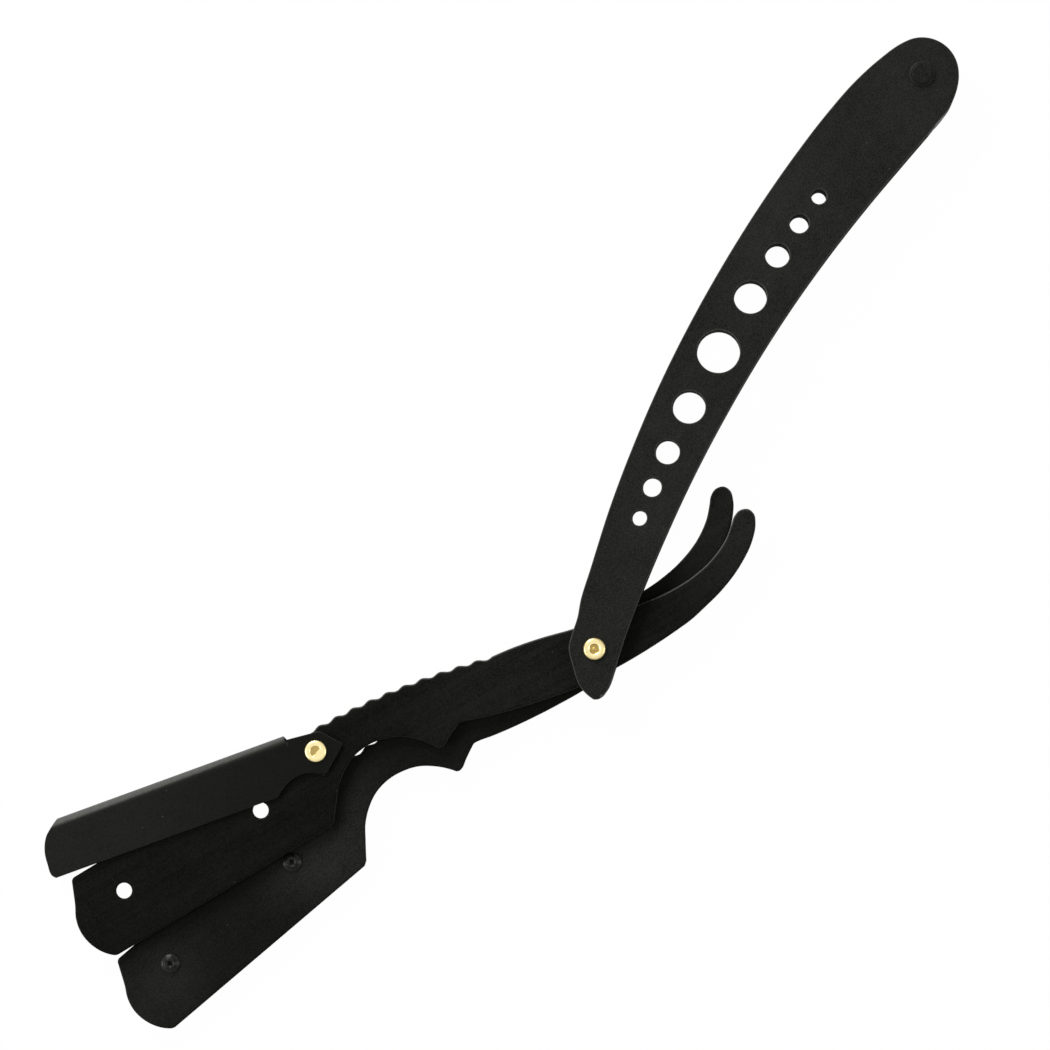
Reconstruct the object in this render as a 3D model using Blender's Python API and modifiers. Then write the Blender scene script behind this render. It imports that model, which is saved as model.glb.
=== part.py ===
"""A folding straight razor that takes a replaceable half blade.

Metres, +Z up. The Z axis is the pivot rivet's axis, the flat of its rear head lies on Z = 0,
and +Y runs from the pivot to the rivet at the handle's far end. Two handle scales hold two
flat arms that fan about the pivot, and a folded cover turns on the front arm.
"""

import math

import bmesh
import bpy
import numpy as np
from mathutils import Matrix

MM = 0.001

# Sheets, from the table up
scale_thickness = 0.9 * MM
arm_thickness = 0.9 * MM
cover_sheet = 0.5 * MM
rear_head_height = 0.6 * MM
front_head_height = 0.6 * MM
cover_head_height = 0.45 * MM
seat_gap = 0.15 * MM
running_gap = 0.2 * MM
bore_gap = 0.15 * MM
edge_break = 0.12 * MM

# Arms: outline sizes are distances from the pivot along and across an arm
nose_reach = 112.05 * MM
heel_reach = 60.4 * MM
notch_tip_reach = 35.4 * MM
spine_rise = 13.2 * MM
edge_drop = 4.25 * MM
shank_drop = 5.2 * MM
tang_reach = 38.95 * MM
tang_rise = 8.4 * MM
front_arm_turn = math.radians(60.1)
fan_angle = math.radians(9.25)

# Thumb grips along the arms' backs
jimp_count = 10
jimp_end_reach = 54.6 * MM
jimp_pitch = 3.57 * MM
jimp_depth = 0.5 * MM
jimp_rise = 0.85 * MM
jimp_fall = 4.98 * MM

# Studs that carry the blade, and the holes over them
tip_stud_setback = 11.2 * MM
heel_stud_lead = 10.2 * MM
stud_rise = 5.7 * MM
stud_pin_radius = 1.3 * MM
stud_ring_radius = 1.8 * MM
stud_ring_height = 0.22 * MM
stud_shank_radius = 0.9 * MM
stud_dimple_radius = 0.75 * MM
stud_dimple_depth = 0.25 * MM
stud_height = 0.8 * MM
blade_hole_room = 0.25 * MM

# Folded cover, measured from its own rivet
cover_rivet_reach = 55.7 * MM
cover_rivet_setback = 3.1 * MM
cover_overhang = 0.75 * MM
cover_drop = 5.7 * MM
cover_fold_room = 1.1 * MM
cover_bend_radius = 1.3 * MM
cover_fold_setback = 4.7 * MM
cover_nose_slant = 1.5 * MM
ear_reach = 5.05 * MM
relief_width = 0.15 * MM
relief_rise = 0.45 * MM
cover_angle = math.radians(-10.4)
cover_head_radius = 2.1 * MM
cover_shank_radius = 1.1 * MM

# Handle
handle_bow = 7.4 * MM
handle_width = 17.5 * MM
pivot_width = 10.2 * MM
end_radius = 6.95 * MM
nose_room = 4.05 * MM
end_rivet_setback = 8.9 * MM
spacer_inset = 0.15 * MM
hole_row_half = 34.8 * MM
big_hole_radius = 4.16 * MM

# Rivets and washers
pivot_head_radius = 2.15 * MM
pivot_shank_radius = 1.3 * MM
washer_rim = 1.9 * MM
end_head_radius = 2.4 * MM
end_shank_radius = 1.4 * MM

# Shares chosen by hand of the sizes that they follow
handle_width_shares = (
    (0.1, 0.62),
    (0.2, 0.685),
    (0.3, 0.737),
    (0.4, 0.79),
    (0.5, 0.834),
    (0.6, 0.877),
    (0.7, 0.924),
    (0.8, 0.968),
    (0.88, 0.995),
    (0.94, 0.987),
    (0.985, 0.923),
)
pivot_right_shares = ((0.54, -0.76), (0.58, -0.58), (0.52, -0.15), (0.41, 0.37))
pivot_left_shares = (
    (-0.67, 0.65),
    (-0.56, 0.33),
    (-0.51, 0.08),
    (-0.43, -0.21),
    (-0.19, -0.48),
    (0.15, -0.76),
)
pivot_tip_share = (0.45, -0.84)
hole_row_centre_share = 0.484
hole_place_shares = (0.0, 0.342, 0.612, 0.82, 1.0)
hole_size_shares = (1.0, 0.766, 0.573, 0.455, 0.363)
nose_shares = (
    (0.92, 0.976),
    (0.932, 0.957),
    (0.939, 0.914),
    (0.949, 0.842),
    (0.969, 0.702),
    (0.99, 0.579),
    (1.0, 0.44),
    (0.99, 0.244),
    (0.965, 0.105),
    (0.945, 0.04),
    (0.933, 0.012),
    (0.92, 0.0),
)
notch_shares = (
    (0.036, 0.063),
    (0.133, 0.244),
    (0.206, 0.373),
    (0.311, 0.491),
    (0.418, 0.563),
    (0.584, 0.588),
    (0.667, 0.567),
    (0.794, 0.497),
    (0.9, 0.375),
    (1.0, 0.186),
)
shank_under_shares = (
    (0.987, -0.25),
    (0.969, -0.25),
    (0.918, -0.087),
    (0.859, 0.096),
    (0.828, 0.173),
    (0.8, 0.131),
    (0.734, -0.029),
    (0.65, -0.206),
    (0.565, -0.365),
    (0.452, -0.554),
    (0.339, -0.717),
    (0.184, -0.904),
    (-0.049, -1.0),
)
tang_shares = (
    (0.4, -0.571),
    (0.475, -0.536),
    (0.565, -0.446),
    (0.668, -0.324),
    (0.822, -0.024),
    (0.932, 0.327),
    (0.981, 0.589),
    (1.0, 0.804),
    (0.99, 0.958),
    (0.953, 1.038),
    (0.917, 0.976),
    (0.886, 0.845),
    (0.832, 0.645),
    (0.734, 0.429),
    (0.585, 0.283),
    (0.447, 0.271),
    (0.295, 0.357),
)
shank_top_shares = ((0.11, 0.4), (0.425, 0.514), (0.74, 0.615))
cover_nose_shares = (
    (0.959, 0.804),
    (0.991, 0.53),
    (1.0, 0.292),
    (0.996, 0.044),
    (0.987, 0.0),
)
cover_arc_shares = (
    (1.94, -0.94),
    (1.62, -0.93),
    (1.21, -0.73),
    (0.83, -0.69),
    (0.38, -0.77),
    (-0.06, -1.01),
)
ear_shares = ((-0.94, -0.12), (-1.0, 0.0), (-0.94, 0.1), (-0.42, 0.61), (-0.34, 0.65))
cover_nose_top_share = 0.943
cover_rear_corner_share = 0.5
rolled_ring_share = 0.36
sunk_middle_share = 0.35
nub_shares = ((0.0, 0.65), (0.1, 0.6), (0.16, 0.35))
dome_shares = ((0.0, 1.0), (0.45, 0.9), (0.75, 0.5))
dome_rim_share = 0.5

heel_rise_share = 0.03

# Facets
facet_turn = math.radians(12)
bevel_turn = math.radians(60)
handle_end_turn = math.radians(70)
handle_end_steps = 8
jimp_fall_power = 1.9
weld_reach = 0.0012 * MM
fine_samples = 12
jimp_samples = 6
hole_sides = 24
rivet_steps = 24
bend_steps = 5
ring_steps = 5

# Heights of the layers
rear_scale_floor = rear_head_height + seat_gap
rear_scale_top = rear_scale_floor + scale_thickness
cover_floor = rear_scale_top + running_gap
rear_arm_floor = cover_floor + cover_sheet + running_gap
rear_arm_top = rear_arm_floor + arm_thickness
front_arm_floor = rear_arm_top + stud_height + running_gap
front_arm_top = front_arm_floor + arm_thickness
cover_front_floor = front_arm_top + running_gap
cover_top = cover_front_floor + cover_sheet
cover_head_floor = cover_top + seat_gap
cover_head_top = cover_head_floor + cover_head_height
front_scale_floor = cover_head_top + running_gap
front_scale_top = front_scale_floor + scale_thickness
front_head_floor = front_scale_top + seat_gap
front_head_top = front_head_floor + front_head_height

# Sizes that follow from the ones above
handle_chord = nose_reach + nose_room + end_rivet_setback
spacer_start_share = (nose_reach + nose_room) / handle_chord
head_length = nose_reach - heel_reach
head_height = spine_rise + edge_drop
notch_width = heel_reach - notch_tip_reach
cover_reach = nose_reach - cover_rivet_reach - cover_overhang
cover_fold_rise = cover_rivet_setback + cover_fold_room + cover_sheet
cover_height = cover_fold_rise + cover_drop
cover_bend_start = cover_fold_rise - cover_bend_radius
tip_stud_reach = nose_reach - tip_stud_setback
heel_stud_reach = heel_reach + heel_stud_lead
cover_rivet_rise = spine_rise - cover_rivet_setback
jimp_run = jimp_count * jimp_pitch
jimp_start_reach = jimp_end_reach - jimp_run
cut_overrun = cover_sheet

parts = bpy.data.collections.new("replaceable_blade_straight_razor")
cutters = bpy.data.collections.new("cutters")


def clear_scene():
    """Remove whatever the file opens with, and link the two collections."""
    for old in list(bpy.data.objects):
        bpy.data.objects.remove(old, do_unlink=True)
    for group in (parts, cutters):
        bpy.context.scene.collection.children.link(group)


def finish(name, colour, roughness, metallic):
    """A Principled material for one sub-part."""
    material = bpy.data.materials.new(name + "_finish")
    material.use_nodes = True
    shader = material.node_tree.nodes["Principled BSDF"]
    shader.inputs["Base Color"].default_value = (*colour, 1)
    shader.inputs["Roughness"].default_value = roughness
    shader.inputs["Metallic"].default_value = metallic
    return material


def black_coat(name):
    return finish(name, (0.013, 0.013, 0.012), 0.5, 0.0)


def brass(name):
    return finish(name, (0.78, 0.56, 0.2), 0.28, 1.0)


def steel(name):
    return finish(name, (0.3, 0.3, 0.3), 0.4, 1.0)


def axis_empty(name, parent, place, turn):
    """An empty on a joint's axis, which carries the pieces that turn with it."""
    empty = bpy.data.objects.new(name, None)
    empty.parent = parent
    empty.location = (*place, 0)
    empty.rotation_euler = (0, 0, turn)
    parts.objects.link(empty)
    return empty


def smooth_run(points):
    """Points along the cubic curve through the given ones, all but the last.

    Each span is a Hermite cubic whose end tangents are the mean slopes of the two spans that
    meet there, and it is divided so that no facet turns by more than facet_turn.
    """
    given = np.array(points, dtype=float)
    if len(given) == 2:
        return [tuple(given[0])]
    steps = np.linalg.norm(np.diff(given, axis=0), axis=1)
    places = np.concatenate(([0], np.cumsum(steps)))
    slopes = np.gradient(given, places, axis=0, edge_order=2)
    curve = []
    for first in range(len(given) - 1):
        span = steps[first]
        shares = np.linspace(0, 1, fine_samples + 1)[:, None]
        start, end = given[first], given[first + 1]
        leave, arrive = slopes[first] * span, slopes[first + 1] * span
        fine = (
            (2 * shares**3 - 3 * shares**2 + 1) * start
            + (shares**3 - 2 * shares**2 + shares) * leave
            + (3 * shares**2 - 2 * shares**3) * end
            + (shares**3 - shares**2) * arrive
        )
        headings = np.unwrap(np.arctan2(*np.diff(fine, axis=0).T[::-1]))
        turn = np.abs(np.diff(headings)).sum()
        pieces = min(max(1, math.ceil(turn / facet_turn)), fine_samples)
        picks = np.round(np.linspace(0, fine_samples, pieces + 1)).astype(int)[:-1]
        curve.extend(tuple(point) for point in fine[picks])
    return curve


def outline(*runs):
    """One closed outline from runs that share their end points, which are its corners."""
    return [point for run in runs for point in smooth_run(run)]


def circle(centre, radius):
    """A round hole's outline."""
    angles = [2 * math.pi * step / hole_sides for step in range(hole_sides)]
    return [(centre[0] + radius * math.cos(a), centre[1] + radius * math.sin(a)) for a in angles]


def plate(name, rim, holes, floor, thickness, material, parent=None):
    """A flat sheet with holes and lightly broken edges."""
    curve = bpy.data.curves.new(name, "CURVE")
    curve.dimensions = "2D"
    curve.fill_mode = "BOTH"
    curve.extrude = thickness / 2
    for loop in (rim, *holes):
        spline = curve.splines.new("POLY")
        spline.points.add(len(loop) - 1)
        for point, (x, y) in zip(spline.points, loop):
            point.co = (x, y, 0, 1)
        spline.use_cyclic_u = True
    curve.materials.append(material)
    sheet = bpy.data.objects.new(name, curve)
    sheet.location = (0, 0, floor + thickness / 2)
    sheet.parent = parent
    parts.objects.link(sheet)
    weld = sheet.modifiers.new("weld_caps", "WELD")
    weld.merge_threshold = weld_reach
    bevel = sheet.modifiers.new("broken_edges", "BEVEL")
    bevel.width = edge_break
    bevel.segments = 1
    bevel.limit_method = "ANGLE"
    bevel.angle_limit = bevel_turn
    return sheet


def turned(name, profile, material, place=(0, 0), parent=None, closed=False):
    """A round piece from a profile of (radius, height) points, listed from the top down."""
    mesh = bpy.data.meshes.new(name)
    edges = [(step, step + 1) for step in range(len(profile) - 1)]
    if closed:
        edges.append((len(profile) - 1, 0))
    mesh.from_pydata([(radius, 0, height) for radius, height in profile], edges, [])
    mesh.materials.append(material)
    piece = bpy.data.objects.new(name, mesh)
    piece.location = (*place, 0)
    piece.parent = parent
    parts.objects.link(piece)
    screw = piece.modifiers.new("turn", "SCREW")
    screw.steps = rivet_steps
    screw.render_steps = rivet_steps
    screw.use_merge_vertices = True
    screw.merge_threshold = weld_reach
    screw.use_smooth_shade = False
    return piece


def washer(name, floor, top, bore, rim):
    """A flat ring round the pivot rivet."""
    profile = ((bore, top), (rim, top), (rim, floor), (bore, floor))
    return turned(name, profile, steel(name), closed=True)


def arm_point(along, across):
    """A place on an arm: along runs from the pivot towards the nose, across to the spine."""
    return (-along, across)


def head_points(shares):
    """Points of the blade head, as shares from the heel to the nose and from edge to spine."""
    return [
        arm_point(heel_reach + along * head_length, across * head_height - edge_drop)
        for along, across in shares
    ]


def jimp_line(reach):
    """The crests' height over an arm's axis: a near parabola that flattens at the head."""
    run_share = (jimp_end_reach - reach) / jimp_run
    return spine_rise + jimp_rise - jimp_fall * run_share**jimp_fall_power


def jimps():
    """The scalloped back, from a dip at the head to a crest half a pitch past the last dip."""
    points = []
    for step in range(jimp_count * jimp_samples + jimp_samples // 2 + 1):
        reach = jimp_end_reach - step * jimp_pitch / jimp_samples
        dip = abs(math.cos(math.pi * step / jimp_samples))
        points.append(arm_point(reach, jimp_line(reach) - jimp_depth * dip**2))
    return points


def arm_rim():
    """An arm's outline, from the spine's nose corner round by the edge and the tang."""
    nose = head_points(nose_shares)
    heel = arm_point(heel_reach, heel_rise_share * head_height - edge_drop)
    notch = [
        arm_point(heel_reach - along * notch_width, across * head_height - edge_drop)
        for along, across in notch_shares
    ]
    under = [
        arm_point(along * notch_tip_reach, across * shank_drop)
        for along, across in shank_under_shares
    ]
    tang = [(along * tang_reach, across * tang_rise) for along, across in tang_shares]
    top = [
        arm_point(along * jimp_start_reach, across * spine_rise)
        for along, across in shank_top_shares
    ]
    back = jimps()
    return outline(
        nose,
        [nose[-1], heel],
        [heel, notch[0]],
        notch,
        [notch[-1], *under, *tang, *top, back[-1]],
        back[::-1],
        [back[0], nose[0]],
    )


def arm(name, turn, floor, holes):
    """An arm on an empty that lies on the pivot's axis, and that empty."""
    axis = axis_empty(name + "_axis", None, (0, 0), turn)
    bores = [circle((0, 0), pivot_shank_radius + bore_gap)]
    bores += [circle(place, radius) for place, radius in holes]
    plate(name, arm_rim(), bores, floor, arm_thickness, black_coat(name), axis)
    return axis


def stud(name, place, parent):
    """A blade stud, flush behind the rear arm, with a dimple in its pin's top."""
    top = rear_arm_top + stud_height
    ring_floor = rear_arm_top + seat_gap
    ring_top = ring_floor + stud_ring_height
    profile = (
        (0, top - stud_dimple_depth),
        (stud_dimple_radius - edge_break, top - stud_dimple_depth),
        (stud_dimple_radius, top),
        (stud_pin_radius - edge_break, top),
        (stud_pin_radius, top - edge_break),
        (stud_pin_radius, ring_top),
        (stud_ring_radius - edge_break, ring_top),
        (stud_ring_radius, ring_top - edge_break),
        (stud_ring_radius, ring_floor),
        (stud_shank_radius, ring_floor),
        (stud_shank_radius, rear_arm_floor),
        (0, rear_arm_floor),
    )
    turned(name, profile, black_coat(name), place, parent)


def rolled_head(radius, floor, height):
    """A tubular rivet's head: a rolled ring round a sunk middle with a low nub."""
    half = radius * rolled_ring_share
    ring = radius - half
    sunk = floor + height * sunk_middle_share
    points = [(radius * reach, floor + height * rise) for reach, rise in nub_shares]
    for step in range(ring_steps + 1):
        angle = math.pi * (1 - step / ring_steps)
        points.append((ring + half * math.cos(angle), max(floor + height * math.sin(angle), sunk)))
    points[-1] = (radius, floor)
    return points


def flat_head(radius, top):
    """A rivet's plain rear head down to the flat that the razor lies on."""
    return [(radius, top), (radius, edge_break), (radius - edge_break, 0), (0, 0)]


def handle_point(along_share, side, inset=0):
    """A place on the handle's edge. side is -1 or 1, and 0 gives the bowed centreline."""
    stations, widths = zip(*handle_width_shares)
    bow = handle_bow * 4 * along_share * (1 - along_share)
    half = handle_width * float(np.interp(along_share, stations, widths)) / 2
    return (side * (half - inset) - bow, along_share * handle_chord)


def handle_end(inset=0):
    """The round end about its rivet, from the right edge over to the left one."""
    steps = range(handle_end_steps + 1)
    turns = [handle_end_turn * (1 - 2 * step / handle_end_steps) for step in steps]
    radius = end_radius - inset
    return [(radius * math.sin(a), handle_chord + radius * math.cos(a)) for a in turns]


def scale_rim():
    """A handle scale's outline, from the tip below the pivot up the right edge and back."""
    stations = [along for along, width in handle_width_shares]
    tip = [pivot_tip_share, *pivot_right_shares]
    right = [(x * pivot_width, y * pivot_width) for x, y in tip]
    right += [handle_point(along, 1) for along in stations]
    left = [handle_point(along, -1) for along in reversed(stations)]
    left += [(x * pivot_width, y * pivot_width) for x, y in pivot_left_shares]
    return outline([*right, *handle_end(), *left, right[0]])


def scale_holes():
    """The row of nine round holes on the handle's centreline, the largest in the middle."""
    row_share = hole_row_half / handle_chord
    holes = []
    for place, size in zip(hole_place_shares, hole_size_shares):
        for side in (-1, 1) if place else (1,):
            along = hole_row_centre_share + side * place * row_share
            holes.append(circle(handle_point(along, 0), big_hole_radius * size))
    return holes


def handle():
    """Two scales, the spacer and rivet at their far end, and the pivot with its washers."""
    bores = [
        circle((0, 0), pivot_shank_radius + bore_gap),
        circle((0, handle_chord), end_shank_radius + bore_gap),
        *scale_holes(),
    ]
    for name, floor in (("rear_scale", rear_scale_floor), ("front_scale", front_scale_floor)):
        plate(name, scale_rim(), bores, floor, scale_thickness, black_coat(name))

    first = handle_point(spacer_start_share, 1, spacer_inset)
    right = [first, handle_point(handle_width_shares[-1][0], 1, spacer_inset)]
    left = [handle_point(handle_width_shares[-1][0], -1, spacer_inset)]
    left.append(handle_point(spacer_start_share, -1, spacer_inset))
    rim = outline([*right, *handle_end(spacer_inset), *left], [left[-1], first])
    gap_floor = rear_scale_top + seat_gap
    gap_top = front_scale_floor - seat_gap
    name = "handle_end_spacer"
    plate(name, rim, bores[1:2], gap_floor, gap_top - gap_floor, steel(name))

    dome_rim = front_head_floor + front_head_height * dome_rim_share
    low_dome = [
        (end_head_radius * reach, front_head_floor + front_head_height * rise)
        for reach, rise in dome_shares
    ]
    low_dome += [
        (end_head_radius - edge_break, dome_rim),
        (end_head_radius, dome_rim - edge_break),
        (end_head_radius, front_head_floor),
        (end_shank_radius, front_head_floor),
        (end_shank_radius, rear_head_height),
        *flat_head(end_head_radius, rear_head_height),
    ]
    turned("handle_end_rivet", low_dome, black_coat("handle_end_rivet"), (0, handle_chord))

    pivot = [
        *rolled_head(pivot_head_radius, front_head_floor, front_head_height),
        (pivot_shank_radius, front_head_floor),
        (pivot_shank_radius, rear_head_height),
        *flat_head(pivot_head_radius, rear_head_height),
    ]
    turned("pivot_rivet", pivot, brass("pivot_rivet"))
    bore = pivot_shank_radius + bore_gap
    rim_radius = bore + washer_rim
    layers = (
        ("rear_pivot_washer", rear_scale_top, rear_arm_floor),
        ("middle_pivot_washer", rear_arm_top, front_arm_floor),
        ("front_pivot_washer", front_arm_top, front_scale_floor),
    )
    for name, under, over in layers:
        washer(name, under + seat_gap, over - seat_gap, bore, rim_radius)


def arms():
    """The front arm with its blade holes, and the rear arm with the studs for the blade."""
    tip = arm_point(tip_stud_reach, stud_rise)
    heel = arm_point(heel_stud_reach, stud_rise)
    rivet = arm_point(cover_rivet_reach, cover_rivet_rise)
    blade_hole = stud_pin_radius + blade_hole_room
    front_holes = [(tip, blade_hole), (heel, blade_hole), (rivet, cover_shank_radius + bore_gap)]
    front_axis = arm("front_arm", front_arm_turn, front_arm_floor, front_holes)
    stud_hole = stud_shank_radius + bore_gap
    rear_holes = [(tip, stud_hole), (heel, stud_hole)]
    rear_axis = arm("rear_arm", front_arm_turn + fan_angle, rear_arm_floor, rear_holes)
    stud("tip_blade_stud", tip, rear_axis)
    stud("heel_blade_stud", heel, rear_axis)
    profile = [
        *rolled_head(cover_head_radius, cover_head_floor, cover_head_height),
        (cover_shank_radius, cover_head_floor),
        (cover_shank_radius, front_arm_floor),
        (0, front_arm_floor),
    ]
    turned("cover_rivet", profile, brass("cover_rivet"), rivet, front_axis)
    return axis_empty("lock_cover_axis", front_axis, rivet, cover_angle)


def fold_path():
    """The fold's outer line as (across, height): a bend, a flat web and a second bend."""
    path = []
    middles = (
        (cover_top - cover_bend_radius, math.pi / 2),
        (cover_floor + cover_bend_radius, 0),
    )
    for height, start in middles:
        for step in range(bend_steps + 1):
            angle = start - step * math.pi / 2 / bend_steps
            across = cover_bend_start + cover_bend_radius * math.cos(angle)
            path.append((across, height + cover_bend_radius * math.sin(angle)))
    return path


def cover_walls():
    """The outer surface of the folded sheet: two flat walls and the strips of the fold."""
    slant = cover_nose_slant / cover_bend_radius
    nose_top = cover_nose_top_share * cover_reach
    path = fold_path()
    left = [(-nose_top + slant * (across - cover_bend_start), across, z) for across, z in path]
    right = [(-cover_fold_setback, across, z) for across, z in path]
    bottom = -cover_drop
    nose = [
        (-along * cover_reach, across * cover_height + bottom)
        for along, across in cover_nose_shares
    ]
    arc = [(-along * ear_reach, across * ear_reach) for along, across in cover_arc_shares]
    ear = [(-along * ear_reach, across * cover_fold_rise) for along, across in ear_shares]
    relief = (relief_width - cover_fold_setback, cover_bend_start)
    ear.append((relief[0], cover_bend_start + relief_rise))
    front = outline(
        [left[0][:2], *nose],
        [nose[-1], (arc[0][0], bottom)],
        [(arc[0][0], bottom), *arc[1:]],
        [arc[-1], ear[0]],
        ear[:3],
        ear[2:4],
        ear[3:5],
        ear[4:],
    )
    front += [ear[-1], relief, right[0][:2]]
    rear = outline([left[0][:2], *nose], [nose[-1], (arc[0][0], bottom)])
    rear_corner = (-cover_fold_setback, -cover_fold_rise * cover_rear_corner_share)
    rear += [(arc[0][0], bottom), rear_corner, right[-1][:2]]
    return left, right, front, rear


def lock_cover(axis):
    """The cover that folds over both arms' backs, bored for its rivet through the ear."""
    left, right, front, rear = cover_walls()
    shell = bmesh.new()
    rows = [(shell.verts.new(a), shell.verts.new(b)) for a, b in zip(left, right)]
    for (a, b), (c, d) in zip(rows, rows[1:]):
        shell.faces.new((a, b, d, c))
    front_inner = [shell.verts.new((x, y, cover_top)) for x, y in front[1:-1]]
    shell.faces.new((rows[0][0], *front_inner, rows[0][1]))
    rear_inner = [shell.verts.new((x, y, cover_floor)) for x, y in rear[1:-1]]
    shell.faces.new((rows[-1][1], *reversed(rear_inner), rows[-1][0]))
    bmesh.ops.recalc_face_normals(shell, faces=shell.faces)
    mesh = bpy.data.meshes.new("lock_cover")
    shell.faces.ensure_lookup_table()
    top = max(shell.faces, key=lambda face: face.calc_center_median().z)
    if top.normal.z < 0:
        bmesh.ops.reverse_faces(shell, faces=shell.faces)
    shell.to_mesh(mesh)
    shell.free()
    mesh.materials.append(black_coat("lock_cover"))
    cover = bpy.data.objects.new("lock_cover", mesh)
    cover.parent = axis
    parts.objects.link(cover)
    wall = cover.modifiers.new("sheet", "SOLIDIFY")
    wall.thickness = cover_sheet
    wall.offset = -1
    wall.use_even_offset = True
    bore = bmesh.new()
    radius = cover_shank_radius + bore_gap
    depth = cover_sheet + 2 * cut_overrun
    place = Matrix.Translation((0, 0, cover_top - cover_sheet / 2))
    bmesh.ops.create_cone(
        bore,
        cap_ends=True,
        segments=hole_sides,
        radius1=radius,
        radius2=radius,
        depth=depth,
        matrix=place,
    )
    bore_mesh = bpy.data.meshes.new("ear_bore")
    bore.to_mesh(bore_mesh)
    bore.free()
    cutter = bpy.data.objects.new("ear_bore", bore_mesh)
    cutter.parent = axis
    cutter.hide_render = True
    cutter.display_type = "WIRE"
    cutters.objects.link(cutter)
    cut = cover.modifiers.new("ear_bore", "BOOLEAN")
    cut.operation = "DIFFERENCE"
    cut.object = cutter


clear_scene()
handle()
lock_cover(arms())
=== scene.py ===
"""Looks of a folding straight razor that takes a replaceable half blade.

Metres, +Z up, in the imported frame: the pivot rivet's axis is the Z axis, and the handle runs
towards +Y. Every visible sheet is worked out again with fine, rounded edges over its node.
"""

import math

import bmesh
import bpy
import numpy as np
from mathutils import Matrix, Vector
from mathutils.geometry import delaunay_2d_cdt


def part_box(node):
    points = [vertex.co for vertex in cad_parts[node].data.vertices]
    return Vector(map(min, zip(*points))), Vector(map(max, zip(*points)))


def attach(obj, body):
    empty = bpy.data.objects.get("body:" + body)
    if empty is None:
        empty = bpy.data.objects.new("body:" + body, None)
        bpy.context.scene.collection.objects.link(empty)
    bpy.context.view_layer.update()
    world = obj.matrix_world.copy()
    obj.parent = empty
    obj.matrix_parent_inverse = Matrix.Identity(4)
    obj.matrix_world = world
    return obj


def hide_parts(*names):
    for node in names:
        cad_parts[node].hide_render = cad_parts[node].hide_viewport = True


bl_info = {
    "name": "Replaceable blade razor",
    "version": (1, 0, 0),
    "blender": (4, 5, 0),
    "location": "View3D > Sidebar > Razor",
    "description": "Builds the finished surfaces of a folding razor over its packed solids",
    "category": "Object",
}

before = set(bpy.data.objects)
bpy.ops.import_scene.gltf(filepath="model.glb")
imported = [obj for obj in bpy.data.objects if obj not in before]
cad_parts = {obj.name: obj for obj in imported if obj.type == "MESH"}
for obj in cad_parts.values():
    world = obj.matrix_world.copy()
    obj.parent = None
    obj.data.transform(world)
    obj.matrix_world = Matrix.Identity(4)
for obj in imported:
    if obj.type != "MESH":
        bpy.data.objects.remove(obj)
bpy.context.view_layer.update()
MM = 0.001

# Outlines, as shares of the sizes that they go with
HANDLE_WIDTH_SHARES = (
    (0.1, 0.62), (0.2, 0.685), (0.3, 0.737), (0.4, 0.79), (0.5, 0.834), (0.6, 0.877),
    (0.7, 0.924), (0.8, 0.968), (0.88, 0.995), (0.94, 0.987), (0.985, 0.923),
)
PIVOT_RIGHT_SHARES = ((0.54, -0.76), (0.58, -0.58), (0.52, -0.15), (0.41, 0.37))
PIVOT_LEFT_SHARES = (
    (-0.67, 0.65), (-0.56, 0.33), (-0.51, 0.08), (-0.43, -0.21), (-0.19, -0.48), (0.15, -0.76),
)
PIVOT_TIP_SHARE = (0.45, -0.825)
HANDLE_END_TURN = math.radians(60)
HEEL_RISE_SHARE = 0.03
JIMP_FALL_POWER = 1.9
HOLE_ROW_CENTRE_SHARE = 0.484
HOLE_PLACE_SHARES = (0.0, 0.342, 0.612, 0.82, 1.0)
HOLE_SIZE_SHARES = (1.0, 0.764, 0.566, 0.446, 0.352)
NOSE_SHARES = (
    (0.92, 0.976), (0.932, 0.957), (0.939, 0.914), (0.949, 0.842), (0.969, 0.702),
    (0.99, 0.579), (1.0, 0.44), (0.99, 0.244), (0.965, 0.105), (0.945, 0.04), (0.933, 0.012),
    (0.92, 0.0),
)
NOTCH_SHARES = (
    (0.036, 0.063), (0.133, 0.244), (0.206, 0.373), (0.311, 0.491), (0.418, 0.563),
    (0.584, 0.588), (0.667, 0.567), (0.794, 0.497), (0.9, 0.375), (1.0, 0.186),
)
SHANK_UNDER_SHARES = (
    (0.987, -0.25), (0.969, -0.25), (0.918, -0.087), (0.859, 0.096), (0.828, 0.173),
    (0.8, 0.131), (0.734, -0.029), (0.65, -0.206), (0.565, -0.365), (0.452, -0.554),
    (0.339, -0.717), (0.184, -0.904), (-0.049, -1.0),
)
TANG_SHARES = (
    (0.4, -0.571), (0.475, -0.536), (0.565, -0.446), (0.668, -0.324), (0.822, -0.024),
    (0.932, 0.327), (0.981, 0.589), (1.0, 0.804), (0.99, 0.958), (0.95, 1.042), (0.91, 0.985),
    (0.878, 0.856), (0.825, 0.658), (0.731, 0.437), (0.585, 0.283), (0.447, 0.271),
    (0.295, 0.357),
)
SHANK_TOP_SHARES = ((0.11, 0.415), (0.425, 0.533), (0.74, 0.621))
COVER_NOSE_SHARES = (
    (0.922, 1.0), (0.95, 0.875), (0.965, 0.804), (0.994, 0.53), (1.0, 0.292), (0.996, 0.044),
    (0.987, 0.0),
)
COVER_ARC_SHARES = (
    (1.94, -0.94), (1.66, -0.93), (1.3, -0.73), (0.95, -0.65), (0.62, -0.65), (0.36, -0.735),
    (0.14, -0.84), (-0.1, -0.915),
)
EAR_SHARES = ((-0.955, -0.19), (-1.015, -0.07), (-0.955, 0.03), (-0.42, 0.655), (-0.34, 0.7))
LIP_TURN = math.radians(-9.8)
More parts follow.
